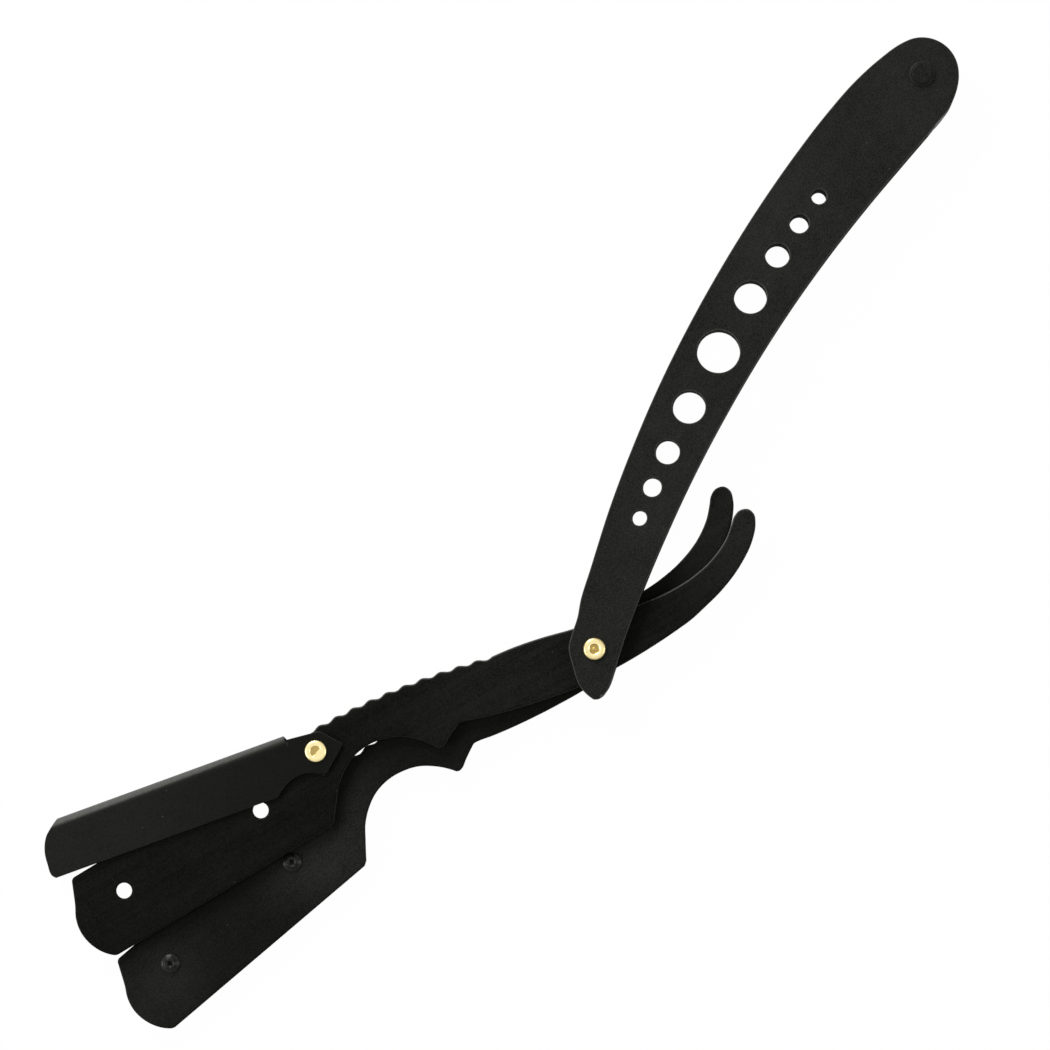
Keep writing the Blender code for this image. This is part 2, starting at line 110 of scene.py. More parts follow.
LIP_PLACE, LIP_WIDTH, LIP_CREST = 0.1, 0.08, 0.96

# Painted highlight along the cover's fold, rubbed and highlighted back edges on the arms, and the
# tint of the coat's gleam
FOLD_HIGHLIGHT_HALF = 2.55 * MM
FOLD_HIGHLIGHT_DEPTH = 0.19 * MM
EAR_NARROWING = 0.26
EDGE_RUB_AND_HIGHLIGHT_GAP = 0.19 * MM
COAT_GLEAM = (0.98, 1.0, 0.83)

# Sections, as shares of a head's radius and height
ROLLED_HEAD_SHARES = (
    (0.0, 0.62), (0.09, 0.58), (0.2, 0.36), (0.34, 0.32), (0.42, 0.5), (0.47, 0.84),
    (0.55, 0.97), (0.68, 1.0), (0.82, 0.9), (0.93, 0.62), (0.985, 0.3), (1.0, 0.0),
)
SUNK_HEAD_SHARES = (
    (0.0, 0.3), (0.2, 0.3), (0.42, 0.36), (0.49, 0.66), (0.56, 0.88), (0.65, 0.98), (0.75, 1.0),
    (0.84, 0.92), (0.93, 0.66), (0.985, 0.32), (1.0, 0.0),
)
DOME_SHARES = (
    (0.0, 1.0), (0.4, 0.995), (0.72, 0.97), (0.775, 0.9), (0.8, 0.55), (0.86, 0.5), (0.95, 0.3),
    (0.985, 0.14), (1.0, 0.0),
)
SUNK_SHARE = 0.6
REAR_HOLLOW_RIM, REAR_HOLLOW_FLOOR, REAR_HOLLOW_DEPTH = 0.4, 0.32, 0.2

# Places of the colour sockets on a Mix node
MIX_FACTOR, MIX_ONE, MIX_TWO, MIX_RESULT = 0, 6, 7, 2

# Fineness
ROUND_STEPS = 4
CORNER_STEPS = 4
HEAD_SIDES = 96
HOLE_SIDES = 72
HEAD_STEP_SHARE = 0.02
HANDLE_STEP, ARM_STEP, COVER_STEP = 0.4 * MM, 0.3 * MM, 0.2 * MM
HANDLE_CELL, ARM_CELL, COVER_CELL = 1.5 * MM, 1.4 * MM, 0.45 * MM
BATCH = 1000

# Limits on moved points
SHARPEST_MITRE = 0.4
SWALLOWED_SHARE = 0.98
GRID_CLEARANCE_CELLS = 0.6
LONGEST_CUT_SHARE = 0.45

# Lamps: place to the right, up and above in metres, and breadth
LAMPS = {
    "key": ((-0.3, 0.5, 0.32), 0.4),
    "right": ((0.5, -0.1, 0.26), 0.3),
    "left": ((-0.5, -0.15, 0.26), 0.3),
}
TABLE_HALF = 1.5
TABLE_POINTS = 9
TABLE_LEVEL = -0.02 * MM


def number(title, default, words, **kind):
    """A number that a user may change."""
    return bpy.props.FloatProperty(name=title, description=words, default=default, **kind)


def offset(title, millimetres, words, **limits):
    """A place along an axis, given in millimetres."""
    return number(title, millimetres * MM, words, precision=5, unit="LENGTH", **limits)


def length(title, millimetres, words):
    """A length, given in millimetres."""
    return offset(title, millimetres, words, min=0)


def turn(title, degrees, words):
    """An angle, given in degrees."""
    return number(title, math.radians(degrees), words, subtype="ANGLE")


def share(title, default, words):
    """A number from 0 to 1."""
    return number(title, default, words, min=0, max=1, subtype="FACTOR")


def colour(title, default, words):
    """A linear colour that a user may change."""
    return bpy.props.FloatVectorProperty(
        name=title, description=words, default=default, size=3, min=0, max=1, subtype="COLOR"
    )


class ArmSizes(bpy.types.PropertyGroup):
    """Sizes of the two flat arms, measured from the pivot along and across an arm."""

    nose_reach: length("Nose reach", 112.15, "From the pivot to the blade head's nose")
    heel_reach: length("Heel reach", 60.4, "From the pivot to the blade head's heel")
    notch_tip_reach: length("Notch tip reach", 35.4, "From the pivot to the finger notch's tip")
    spine_rise: length("Spine rise", 13.2, "The back's height over the arm's axis")
    edge_drop: length("Edge drop", 4.25, "How far the blade side lies under the arm's axis")
    shank_drop: length("Shank drop", 5.2, "How far the shank's belly lies under the arm's axis")
    tang_reach: length("Tang reach", 38.95, "From the pivot to the tang's end")
    tang_rise: length("Tang rise", 8.4, "The tang end's height over the arm's axis")
    jimp_end_reach: length("Thumb grip reach", 54.6, "From the pivot to the last thumb groove")
    jimp_pitch: length("Thumb groove pitch", 3.57, "From one thumb groove to the next")
    jimp_depth: length("Thumb groove depth", 0.5, "The depth of a thumb groove")
    jimp_fall: length("Thumb grip fall", 4.98, "How far the crests fall towards the pivot")
    jimp_rise: length("Thumb grip rise", 0.85, "The first crest's height over the back")
    jimp_count: bpy.props.IntProperty(name="Thumb grooves", description="On an arm", default=10)
    front_turn: turn("Front arm's turn", 60.1, "The front arm's angle from the frame's X axis")
    fan: turn("Fan", 9.32, "The rear arm's further turn at rest")
    rounding: length("Edge rounding", 0.38, "The radius of the rubbed edges")
    bore_radius: length("Pivot bore radius", 1.45, "The pivot rivet's hole")
    blade_hole_radius: length("Blade hole radius", 1.5, "The holes over the studs")
    stud_bore_radius: length("Stud bore radius", 1.05, "The studs' holes in the rear arm")
    cover_bore_radius: length("Cover bore radius", 1.25, "The cover rivet's hole")
    tip_stud_setback: length("Tip stud setback", 11.2, "From the nose back to the tip stud")
    heel_stud_lead: length("Heel stud lead", 10.2, "From the heel on to the heel stud")
    stud_rise: length("Stud rise", 5.7, "The studs' height over the arm's axis")
    cover_rivet_reach: length("Cover rivet reach", 55.7, "From the pivot to the cover's rivet")
    cover_rivet_setback: length("Cover rivet setback", 3.1, "From the back down to that rivet")


class CoverSizes(bpy.types.PropertyGroup):
    """Sizes of the folded cover, measured from its rivet."""

    overhang: length("Overhang", 0.75, "How far the arms' nose stands past the cover's")
    drop: length("Drop", 5.8, "From the rivet down to the cover's lower edge")
    fold_room: length("Fold room", 1.2, "Between the arms' backs and the fold")
    bend_radius: length("Bend radius", 1.9, "The fold's outer radius")
    fold_setback: length("Fold setback", 4.7, "From the rivet to the fold's end")
    ear_slant: length("Ear slant", 0.4, "How far the fold's end at the ear is cut back")
    ear_reach: length("Ear reach", 5.05, "The ear's size round the rivet")
    relief_width: length("Relief width", 0.08, "The slit between the ear and the fold")
    relief_rise: length("Relief rise", 1.05, "The slit's depth")
    sheet: length("Sheet", 0.5, "The sheet's thickness")
    bore_radius: length("Bore radius", 1.25, "The rivet's hole")
    rounding: length("Edge rounding", 0.14, "The radius of the rubbed edges")
    turn: turn("Turn", -10.4, "The cover's turn from the front arm at rest")


class HandleSizes(bpy.types.PropertyGroup):
    """Sizes of the two scales and the spacer between them."""

    chord: length("Chord", 125.0, "From the pivot to the far rivet")
    bow: length("Bow", 7.5, "How far the centreline bows sideways")
    width: length("Width", 17.5, "The handle's greatest width")
    pivot_width: length("Pivot width", 10.2, "The handle's width at the pivot")
    end_radius: length("End radius", 6.95, "The round far end")
    hole_row_half: length("Hole row", 34.8, "From the largest hole to the row's end")
    big_hole_radius: length("Largest hole", 4.08, "The largest hole's radius")
    spacer_start: length("Spacer start", 116.1, "From the pivot to the spacer")
    spacer_inset: length("Spacer inset", 0.15, "From the scales' edges in to the spacer's")
    pivot_bore_radius: length("Pivot bore radius", 1.45, "The pivot rivet's hole")
    end_bore_radius: length("End bore radius", 1.55, "The end rivet's hole")
    rounding: length("Edge rounding", 0.2, "The radius of the rubbed edges")


class FastenerSizes(bpy.types.PropertyGroup):
    """Sizes of the rivets, studs and washers."""

    pivot_head_radius: length("Pivot head", 2.15, "The pivot rivet's heads")
    pivot_shank_radius: length("Pivot shank", 1.3, "The pivot rivet's shank")
    end_head_radius: length("End head", 2.4, "The end rivet's heads")
    end_shank_radius: length("End shank", 1.4, "The end rivet's shank")
    cover_head_radius: length("Cover rivet head", 2.1, "The cover rivet's head")
    cover_shank_radius: length("Cover rivet shank", 1.1, "The cover rivet's shank")
    rear_head_height: length("Rear heads", 0.6, "The height of the heads behind")
    front_head_height: length("Front heads", 0.6, "The height of the handle's heads in front")
    cover_head_height: length("Cover rivet height", 0.45, "The height of the cover rivet's head")
    stud_pin_radius: length("Stud pin", 1.2, "A stud's pin")
    stud_ring_radius: length("Stud collar", 1.8, "The collar round a stud")
    stud_ring_height: length("Stud collar height", 0.42, "The collar's height")
    stud_shank_radius: length("Stud shank", 0.9, "A stud's shank in the rear arm")
    stud_dimple_radius: length("Stud dimple", 0.6, "The dimple in a stud's top")
    stud_dimple_depth: length("Stud dimple depth", 1.0, "The dimple's depth")
    seat_gap: length("Seat gap", 0.15, "Between a head and what it sits on")
    washer_bore: length("Washer bore", 1.45, "A washer's hole")
    washer_rim: length("Washer rim", 3.35, "A washer's outer radius")
    rounding: length("Edge rounding", 0.06, "The radius of the small edges")


class FinishColours(bpy.types.PropertyGroup):
    """Colours of the finishes, as linear values."""

    coat: colour("Coat", (0.0088, 0.0088, 0.0082), "The matt black coat")
    coat_dark: colour("Coat, dark", (0.0009, 0.0009, 0.0008), "The coat where it is densest")
    # Also the colour of painted highlights on edges and along the cover's fold, and of painted
    # pools of light.
    coat_rub_and_painted_light: colour("Coat, rubbed", (0.10, 0.10, 0.095), "The coat where edges have rubbed it")
    coat_speck: colour("Coat, specks", (0.09, 0.09, 0.085), "Pale specks in the coat")
    brass: colour("Brass", (0.92, 0.79, 0.42), "The rivets' brass")
    # Also painted shade in the rivet heads' sunk middles and towards their rims.
    brass_tarnish_and_shade: colour("Brass, tarnished", (0.36, 0.25, 0.07), "Brass in the sunk middle")
    steel: colour("Steel", (0.34, 0.34, 0.33), "The washers' steel")
    zinc: colour("Zinc", (0.20, 0.20, 0.20), "The spacer's grey metal")


class StageSizes(bpy.types.PropertyGroup):
    """Camera, lamps and floor."""

    view_width: length("View width", 200.74, "The width of what the camera sees")
    camera_height: length("Camera height", 680.0, "From the table to the camera")
    centre_right: offset("View centre, right", -5.58, "The picture's middle, right of the pivot")
    centre_up: offset("View centre, up", 19.61, "The picture's middle, up from the pivot")
    lean_right: offset("Lean, right", 33.0, "The camera's stand, right of where it looks")
    lean_up: offset("Lean, up", -13.0, "The camera's stand, up from where it looks")
    shift_right: number("Shift, right", -0.04, "The lens shift, in picture widths")
    shift_up: number("Shift, up", 0.02, "The lens shift, in picture widths")
    roll: turn("Roll", 29.69, "The picture's turn from the frame's X axis")
    key_power: number("Key", 4.8, "The large soft lamp", unit="POWER")
    left_power: number("Left", 1.6, "The lamp on the left", unit="POWER")
    right_power: number("Right", 1.0, "The lamp on the right", unit="POWER")
    world_strength: share("World", 0.12, "The light from all round")
    floor_glow: share("Floor glow", 0.985, "How far the floor is plain white to the camera")
    floor_colour: colour("Floor", (0.93, 0.93, 0.93), "The table")


def smooth_run(points, step):
    """Evenly spaced points along the cubic through the given ones, all but the last.

    Each span is a Hermite cubic whose end tangents are the mean slopes of the two chords that
    meet there; a run of two points is a straight line.
    """
    given = np.array(points, dtype=float)
    chords = np.linalg.norm(np.diff(given, axis=0), axis=1)
    places = np.concatenate(([0], np.cumsum(chords)))
    along = np.linspace(0, places[-1], max(2, math.ceil(places[-1] / step) + 1))[:-1]
    if len(given) == 2:
        return given[0] + (given[1] - given[0]) * (along / places[-1])[:, None]
    slopes = np.gradient(given, places, axis=0, edge_order=2)
    span = np.clip(np.searchsorted(places, along, side="right") - 1, 0, len(chords) - 1)
    reach = chords[span][:, None]
    s = (along - places[span])[:, None] / reach
    return (
        (2 * s**3 - 3 * s**2 + 1) * given[span]
        + (s**3 - 2 * s**2 + s) * slopes[span] * reach
        + (3 * s**2 - 2 * s**3) * given[span + 1]
        + (s**3 - s**2) * slopes[span + 1] * reach
    )


def outline(runs, step):
    """One closed outline from runs that share their end points, which are its corners."""
    return np.vstack([smooth_run(run, step) for run in runs])


def circle(centre, radius):
    """A round hole's outline: the centre plus the radius along the cosine and the sine."""
    angles = np.linspace(0, 2 * np.pi, HOLE_SIDES, endpoint=False)
    return np.array(centre) + radius * np.column_stack((np.cos(angles), np.sin(angles)))


def wound(loop, clockwise=False):
    """The loop in the asked direction, by the sign of its area."""
    ahead = np.roll(loop, -1, axis=0)
    area = np.sum(loop[:, 0] * ahead[:, 1] - ahead[:, 0] * loop[:, 1])
    return loop[::-1] if (area > 0) == clockwise else loop


def mitres(loop):
    """Vectors that move a loop's points so that both sides beside each move out by one."""
    ahead = np.roll(loop, -1, axis=0) - loop
    ahead /= np.linalg.norm(ahead, axis=1)[:, None]
    after = np.column_stack((ahead[:, 1], -ahead[:, 0]))
    before = np.roll(after, 1, axis=0)
    opening = 1 + np.sum(after * before, axis=1)
    return (after + before) / np.maximum(opening, SHARPEST_MITRE)[:, None]


def inside(points, starts, ends):
    """Whether points lie in the material: a ray to the right crosses an odd number of sides."""
    found = []
    for some in np.array_split(points, max(1, len(points) // BATCH)):
        x, y = some[:, 0][:, None], some[:, 1][:, None]
        spans = (starts[:, 1] > y) != (ends[:, 1] > y)
        rise = ends[:, 1] - starts[:, 1]
        rise = np.where(rise == 0, 1, rise)
        cut = starts[:, 0] + (y - starts[:, 1]) * (ends[:, 0] - starts[:, 0]) / rise
        found.append(np.sum(spans & (x < cut), axis=1) % 2 == 1)
    return np.concatenate(found)


def gaps(points, starts, ends):
    """The distance from each point to the nearest side, at its nearest place on that side."""
    along = ends - starts
    length_squared = np.maximum(np.sum(along**2, axis=1), MM**4)
    found = []
    for some in np.array_split(points, max(1, len(points) // BATCH)):
        away = some[:, None] - starts[None]
        place = np.clip(np.sum(away * along, axis=2) / length_squared, 0, 1)
        found.append(np.linalg.norm(away - place[:, :, None] * along, axis=2).min(axis=1))
    return np.concatenate(found)


def drawn_in(loop, outwards, inset):
    """A loop moved in along its mitres; a point that a corner swallows joins its neighbour."""
    moved = loop - outwards * inset
    kept = np.flatnonzero(gaps(moved, loop, np.roll(loop, -1, axis=0)) >= SWALLOWED_SHARE * inset)
    turns = np.concatenate((kept - len(loop), kept, kept + len(loop)))
    spots = np.arange(len(loop))[:, None]
    return moved[turns[np.abs(spots - turns).argmin(axis=1)] % len(loop)]


def strips(rows, ahead, wrap):
    """Four-sided faces between rows of points; ahead gives each column's next one."""
    row, column = (part.ravel() for part in np.indices((rows, len(ahead))))
    below, on = (row + 1) % wrap, ahead[column]
    corners = ((row, column), (below, column), (below, on), (row, on))
    return np.column_stack([line * len(ahead) + spot for line, spot in corners])


def sheet(rim, holes, floor, top, rounding, cell):
    """A flat sheet whose edges are quarter rounds, as points, faces and distances from its edge.

    The edge's section, a straight wall between two quarter circles and a narrow flat, is carried
    along the rim and round each hole, each point moved in along its mitre. The two flats are
    filled by one triangulation over the innermost loops and a square grid.
    """
    loops = [wound(rim)] + [wound(hole, clockwise=True) for hole in holes]
    points = np.vstack(loops)
    count = len(points)
    starts = np.cumsum([0] + [len(loop) for loop in loops[:-1]])
    ahead = np.concatenate(
        [np.roll(np.arange(len(loop)), -1) + start for loop, start in zip(loops, starts)]
    )

    bend = np.linspace(0, np.pi / 2, ROUND_STEPS + 1)
    inset = rounding * (1 - np.sin(bend))
    drop = rounding * (1 - np.cos(bend))
    insets = np.concatenate(([2 * rounding], inset, inset[::-1], [2 * rounding]))
    heights = np.concatenate(([top], top - drop, floor + drop[::-1], [floor]))
    outwards = [mitres(loop) for loop in loops]
    rings = np.stack(
        [np.vstack([drawn_in(*pair, each) for pair in zip(loops, outwards)]) for each in insets]
    )
    body = np.dstack((rings, np.repeat(heights[:, None], count, axis=1))).reshape(-1, 3)
    walls = strips(len(insets) - 1, ahead, len(insets))

    inner = rings[0]
    low, high = inner.min(axis=0), inner.max(axis=0)
    across, up = np.meshgrid(np.arange(low[0], high[0], cell), np.arange(low[1], high[1], cell))
    grid = np.column_stack((across.ravel(), up.ravel()))
    grid = grid[inside(grid, inner, inner[ahead])]
    grid = grid[gaps(grid, inner, inner[ahead]) > cell * GRID_CLEARANCE_CELLS]
    spots, firsts, places = np.unique(
        np.round(inner / MM, 6), axis=0, return_index=True, return_inverse=True
    )
    places = places.ravel()
    sides = np.column_stack((places, places[ahead]))
    sides = sides[sides[:, 0] != sides[:, 1]]
    given = np.vstack((spots, grid / MM))
    made = delaunay_2d_cdt(given.tolist(), sides.tolist(), [], 0, 1e-6)
    if len(made[0]) != len(given):
        raise RuntimeError("a sheet's edge crosses itself")
    sources = np.concatenate((firsts, count + np.arange(len(grid))))
    faces = sources[np.array([source[0] for source in made[3]])][np.array(made[2])]
    flat = np.vstack((inner, grid)) / MM
    middles = flat[faces].mean(axis=1) * MM
    faces = faces[inside(middles, inner, inner[ahead])]
    one, two, three = flat[faces[:, 0]], flat[faces[:, 1]], flat[faces[:, 2]]
    area = np.cross(two - one, three - one)
    faces[area < 0] = faces[area < 0][:, ::-1]

    last = (len(insets) - 1) * count
    total = len(body)
    upper = np.where(faces < count, faces, faces - count + total)
    lower = np.where(faces < count, faces + last, faces - count + total + len(grid))[:, ::-1]
    flats = [np.column_stack((grid, np.full(len(grid), level))) for level in (top, floor)]
    edge = gaps(grid, points, points[ahead])
    depth = np.concatenate((np.repeat(insets, count), edge, edge))
    return np.vstack((body, *flats)), walls.tolist() + upper.tolist() + lower.tolist(), depth


def turned_about(points, angle, place=(0, 0)):
    """Points turned by an angle about the Z axis, then moved to a place."""
    c, s = math.cos(angle), math.sin(angle)
    x = points[:, 0] * c - points[:, 1] * s + place[0]
    y = points[:, 0] * s + points[:, 1] * c + place[1]
    return np.column_stack((x, y, *points[:, 2:].T))


def rounded(profile, radius):
    """A profile whose corners are parabolas that start a radius away from them."""
    corners = np.array(profile, dtype=float)
    before, here, after = corners[:-2], corners[1:-1], corners[2:]
    back, on = before - here, after - here
    back_length = np.linalg.norm(back, axis=1)[:, None]
    on_length = np.linalg.norm(on, axis=1)[:, None]
    start = here + back * np.minimum(radius / back_length, LONGEST_CUT_SHARE)
    end = here + on * np.minimum(radius / on_length, LONGEST_CUT_SHARE)
    t = np.linspace(0, 1, CORNER_STEPS + 1)[:, None, None]
    arcs = (1 - t) ** 2 * start + 2 * t * (1 - t) * here + t**2 * end
    arcs = arcs.transpose(1, 0, 2).reshape(-1, 2)
    return np.vstack((corners[:1], arcs, corners[-1:]))


def revolved(profile, place=(0, 0), closed=False, reshape=None):
    """A profile of (radius, height) carried round its axis, listed from the top down.

    reshape takes the grids of radius, angle and height and returns the new heights.
    """
    profile = np.array(profile)
    angles = np.linspace(0, 2 * np.pi, HEAD_SIDES, endpoint=False)
    radius, angle = np.meshgrid(profile[:, 0], angles, indexing="ij")
    height = np.repeat(profile[:, 1][:, None], HEAD_SIDES, axis=1)
    if reshape:
        height = reshape(radius, angle, height)
    x = radius * np.cos(angle) + place[0]
    y = radius * np.sin(angle) + place[1]
    points = np.dstack((x, y, height)).reshape(-1, 3)
    rows = len(profile) if closed else len(profile) - 1
    faces = strips(rows, np.roll(np.arange(HEAD_SIDES), -1), len(profile))
    return points, faces.tolist(), radius.ravel()


def piece(node, points, faces, depth, body, slot, finish):
    """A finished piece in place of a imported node, with each point's distance from its edge."""
    mesh = bpy.data.meshes.new(node + "_finished")
    mesh.from_pydata(points.tolist(), [], faces)
    spread = mesh.attributes.new("edge_distance", "FLOAT", "POINT")
    spread.data.foreach_set("value", (depth / MM).astype(np.float32))
    work = bmesh.new()
    work.from_mesh(mesh)
    bmesh.ops.remove_doubles(work, verts=work.verts, dist=MM / 10000)
    work.to_mesh(mesh)
    work.free()
    mesh.shade_smooth()
    mesh.materials.append(finish)
    made = bpy.data.objects.new(node + "_finished", mesh)
    bpy.context.scene.collection.objects.link(made)
    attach(made, body)
    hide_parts(node)
    return made


def levels(node):
    """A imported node's floor and top."""
    low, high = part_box(node)
    return low.z, high.z


def arm_point(along, across):
    """A place on an arm: along runs from the pivot towards the nose, across to the spine."""
    return (-along, across)


def back_line(arms, along):
    """A line between the arm's back, whose edges are worn by the hand and carry a painted
    highlight, and its other edges.
    """
    shank = 1 * MM - 0.12 * along
    tang = (2 * along / arms.tang_reach - 1.3) * arms.tang_rise
    return np.where(along < 0, shank, np.maximum(tang, 1 * MM))


def jimps(arms, step):
    """The scalloped back: crests on a near parabola, less the depth times a squared cosine."""
    run = arms.jimp_count * arms.jimp_pitch
    whole = run + arms.jimp_pitch / 2
    back = np.linspace(whole, 0, math.ceil(whole / step) + 1)
    crest = arms.spine_rise + arms.jimp_rise - arms.jimp_fall * (back / run) ** JIMP_FALL_POWER
    dip = np.cos(np.pi * back / arms.jimp_pitch) ** 2
    return np.column_stack((back - arms.jimp_end_reach, crest - arms.jimp_depth * dip))


def arm_outline(arms, step):
    """An arm's outline, from the spine's nose corner round by the edge and the tang."""
    head_length = arms.nose_reach - arms.heel_reach
    head_height = arms.spine_rise + arms.edge_drop
    notch_width = arms.heel_reach - arms.notch_tip_reach
    jimp_start = arms.jimp_end_reach - arms.jimp_count * arms.jimp_pitch

    def head(shares, start, reach):
        """Shares of the blade head's height, along a reach from a place on the arm."""
        return [
            arm_point(start + x * reach, y * head_height - arms.edge_drop) for x, y in shares
        ]

    nose = head(NOSE_SHARES, arms.heel_reach, head_length)
    heel = arm_point(arms.heel_reach, HEEL_RISE_SHARE * head_height - arms.edge_drop)
    notch = head(NOTCH_SHARES, arms.heel_reach, -notch_width)
    belly = [
        arm_point(x * arms.notch_tip_reach, y * arms.shank_drop) for x, y in SHANK_UNDER_SHARES
    ]
    tang = [(x * arms.tang_reach, y * arms.tang_rise) for x, y in TANG_SHARES]
    top = [arm_point(x * jimp_start, y * arms.spine_rise) for x, y in SHANK_TOP_SHARES]
    back = jimps(arms, step)
    round_the_tang = [notch[-1], *belly, *tang, *top, tuple(back[0])]
    runs = (nose, [nose[-1], heel], [heel, notch[0]], notch, round_the_tang)
    spine = smooth_run([tuple(back[-1]), nose[0]], step)
    return np.vstack((outline(runs, step), back[:-1], spine))


def blade_places(arms):
    """The tip stud's and the heel stud's places on an arm."""
    return (
        arm_point(arms.nose_reach - arms.tip_stud_setback, arms.stud_rise),
        arm_point(arms.heel_reach + arms.heel_stud_lead, arms.stud_rise),
    )


def cover_rivet_place(arms):
    """The cover rivet's place on the front arm."""
    return arm_point(arms.cover_rivet_reach, arms.spine_rise - arms.cover_rivet_setback)


def in_frame(place, angle):
    """A place on an arm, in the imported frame."""
    return turned_about(np.array([place]), angle)[0]


def handle_point(handle, along_share, side, inset=0):
    """A place on the handle's edge; side is -1 or 1, and 0 gives the bowed centreline."""
    stations, widths = zip(*HANDLE_WIDTH_SHARES)
    bow = handle.bow * 4 * along_share * (1 - along_share)
    half = handle.width * float(np.interp(along_share, stations, widths)) / 2
    return (side * (half - inset) - bow, along_share * handle.chord)


def handle_end(handle, inset=0):
    """The round end about its rivet, from the right edge over to the left one."""
    angles = np.linspace(HANDLE_END_TURN, -HANDLE_END_TURN, 9)
    radius = handle.end_radius - inset
    return [(radius * math.sin(a), handle.chord + radius * math.cos(a)) for a in angles]


def scale_outline(handle, step):
    """A scale's outline, from the tip below the pivot up the right edge and back."""
    stations = [along for along, width in HANDLE_WIDTH_SHARES]
    width = handle.pivot_width
    right = [(x * width, y * width) for x, y in (PIVOT_TIP_SHARE, *PIVOT_RIGHT_SHARES)]
    right += [handle_point(handle, along, 1) for along in stations]
    left = [handle_point(handle, along, -1) for along in reversed(stations)]
    left += [(x * width, y * width) for x, y in PIVOT_LEFT_SHARES]
    return outline([[*right, *handle_end(handle), *left, right[0]]], step)


def scale_holes(handle):
    """The row of nine round holes on the centreline, the largest in the middle."""
    row = handle.hole_row_half / handle.chord
    holes = []
    for place, size in zip(HOLE_PLACE_SHARES, HOLE_SIZE_SHARES):
        for side in (-1, 1) if place else (1,):
            along = HOLE_ROW_CENTRE_SHARE + side * place * row
            holes.append(circle(handle_point(handle, along, 0), handle.big_hole_radius * size))
    return holes


def cover_blank(arms, cover, wall_rise, step):
    """The cover's flat blank: x along it, y from the first bend's start round the fold."""
    reach = arms.nose_reach - arms.cover_rivet_reach - cover.overhang
    fold_rise = arms.cover_rivet_setback + cover.fold_room + cover.sheet
    bend_start = fold_rise - cover.bend_radius
    wall = fold_rise + cover.drop
    cut = [(-along * reach, across * wall - cover.drop) for along, across in COVER_NOSE_SHARES]
    cut_x, cut_y = zip(*reversed(cut))
    nose_top = (float(np.interp(bend_start, cut_y, cut_x)), bend_start)
    nose = [spot for spot in cut if spot[1] < bend_start]
    reach = cover.ear_reach
    arc = [(-along * reach, across * reach) for along, across in COVER_ARC_SHARES]
    ear = [(-along * reach, across * fold_rise) for along, across in EAR_SHARES]
    corner = (arc[0][0], -cover.drop)
    arc[0] = corner
    slit = cover.relief_width - cover.fold_setback
    ear.append((slit, bend_start + cover.relief_rise))
    slit_end, fold_end = (slit, bend_start), (-cover.fold_setback, bend_start)
    runs = [[nose_top, *nose], [nose[-1], corner], arc, [arc[-1], ear[0]]]
    runs += [ear[:3], ear[2:4], ear[3:5], ear[4:], [ear[-1], slit_end], [slit_end, fold_end]]
    front = outline(runs, step)
    front[:, 1] -= bend_start

    quarter = cover.bend_radius * np.pi / 2
    fold_length = 2 * quarter + wall_rise - 2 * cover.bend_radius
    rear_end = (-cover.fold_setback, -fold_rise / 2)
    runs = [[fold_end, rear_end], [rear_end, corner], [corner, nose[-1]]]
    rear = outline([*runs, [*reversed(nose), nose_top]], step)
    rear[:, 1] = fold_length + bend_start - rear[:, 1]
    rise = np.linspace(0, fold_length, math.ceil(fold_length / step) + 1)
    from_end = np.minimum(rise, fold_length - rise)
    lean = cover.bend_radius * np.sin(np.clip(from_end / cover.bend_radius, 0, np.pi / 2))
    slant = cover.ear_slant / cover.bend_radius
    right = np.column_stack((-cover.fold_setback - slant * lean, rise))
    left = np.column_stack((np.interp(bend_start + lean, cut_y, cut_x), rise))[::-1]
    return np.vstack((front, right[:-1], rear, left[:-1])), bend_start


def folded(points, cover, bend_start, floor, top):
    """A flat blank bent round two quarter circles with a web between them.

    Depth under the outer face is taken off the bends' radius. The ear beside the fold stays flat.
    """
    x, u, depth = points[:, 0], points[:, 1], -points[:, 2]
    radius = cover.bend_radius
    quarter = radius * np.pi / 2
    web = top - floor - 2 * radius
    first, second = u / radius, (u - quarter - web) / radius
    ear = x > cover.relief_width / 2 - cover.fold_setback
    where = (ear | (u < 0), u < quarter, u < quarter + web, u < 2 * quarter + web)
    across = np.select(
        where,
        (
            bend_start + u,
            bend_start + (radius - depth) * np.sin(first),
            bend_start + radius - depth,
            bend_start + (radius - depth) * np.cos(second),
        ),
        bend_start - (u - 2 * quarter - web),
    )
    height = np.select(
        where,
        (
            top - depth,
            top - radius + (radius - depth) * np.cos(first),
            top - radius - (u - quarter),
            floor + radius - (radius - depth) * np.sin(second),
        ),
        floor + depth,
    )
    return np.column_stack((x, across, height))


class Value:
    """A shader socket that takes part in arithmetic; each operator adds its Math node."""

    def __init__(self, nodes, socket):
        self.nodes = nodes
        self.socket = socket

    def math(self, operation, *inputs):
        """A Math node of these inputs, which need not hold this socket."""
        return self.nodes.add(
            "ShaderNodeMath", {"operation": operation}, dict(enumerate(inputs))
        )

    def __add__(self, other):
        return self.math("ADD", self, other)

    def __sub__(self, other):
        return self.math("SUBTRACT", self, other)

    def __rsub__(self, other):
        return self.math("SUBTRACT", other, self)

    def __mul__(self, other):
        return self.math("MULTIPLY", self, other)

    __radd__ = __add__
    __rmul__ = __mul__

    def sine(self):
        return self.math("SINE", self)

    def larger(self, other):
        return self.math("MAXIMUM", self, other)

    def between(self, low, high):
        """0 under low, 1 over high and a smooth step between; if low is higher, turned round."""
        if low > high:
            return 1 - self.between(high, low)
        inputs = {"Value": self, "From Min": low, "From Max": high}
        return self.nodes.add("ShaderNodeMapRange", {"interpolation_type": "SMOOTHSTEP"}, inputs)


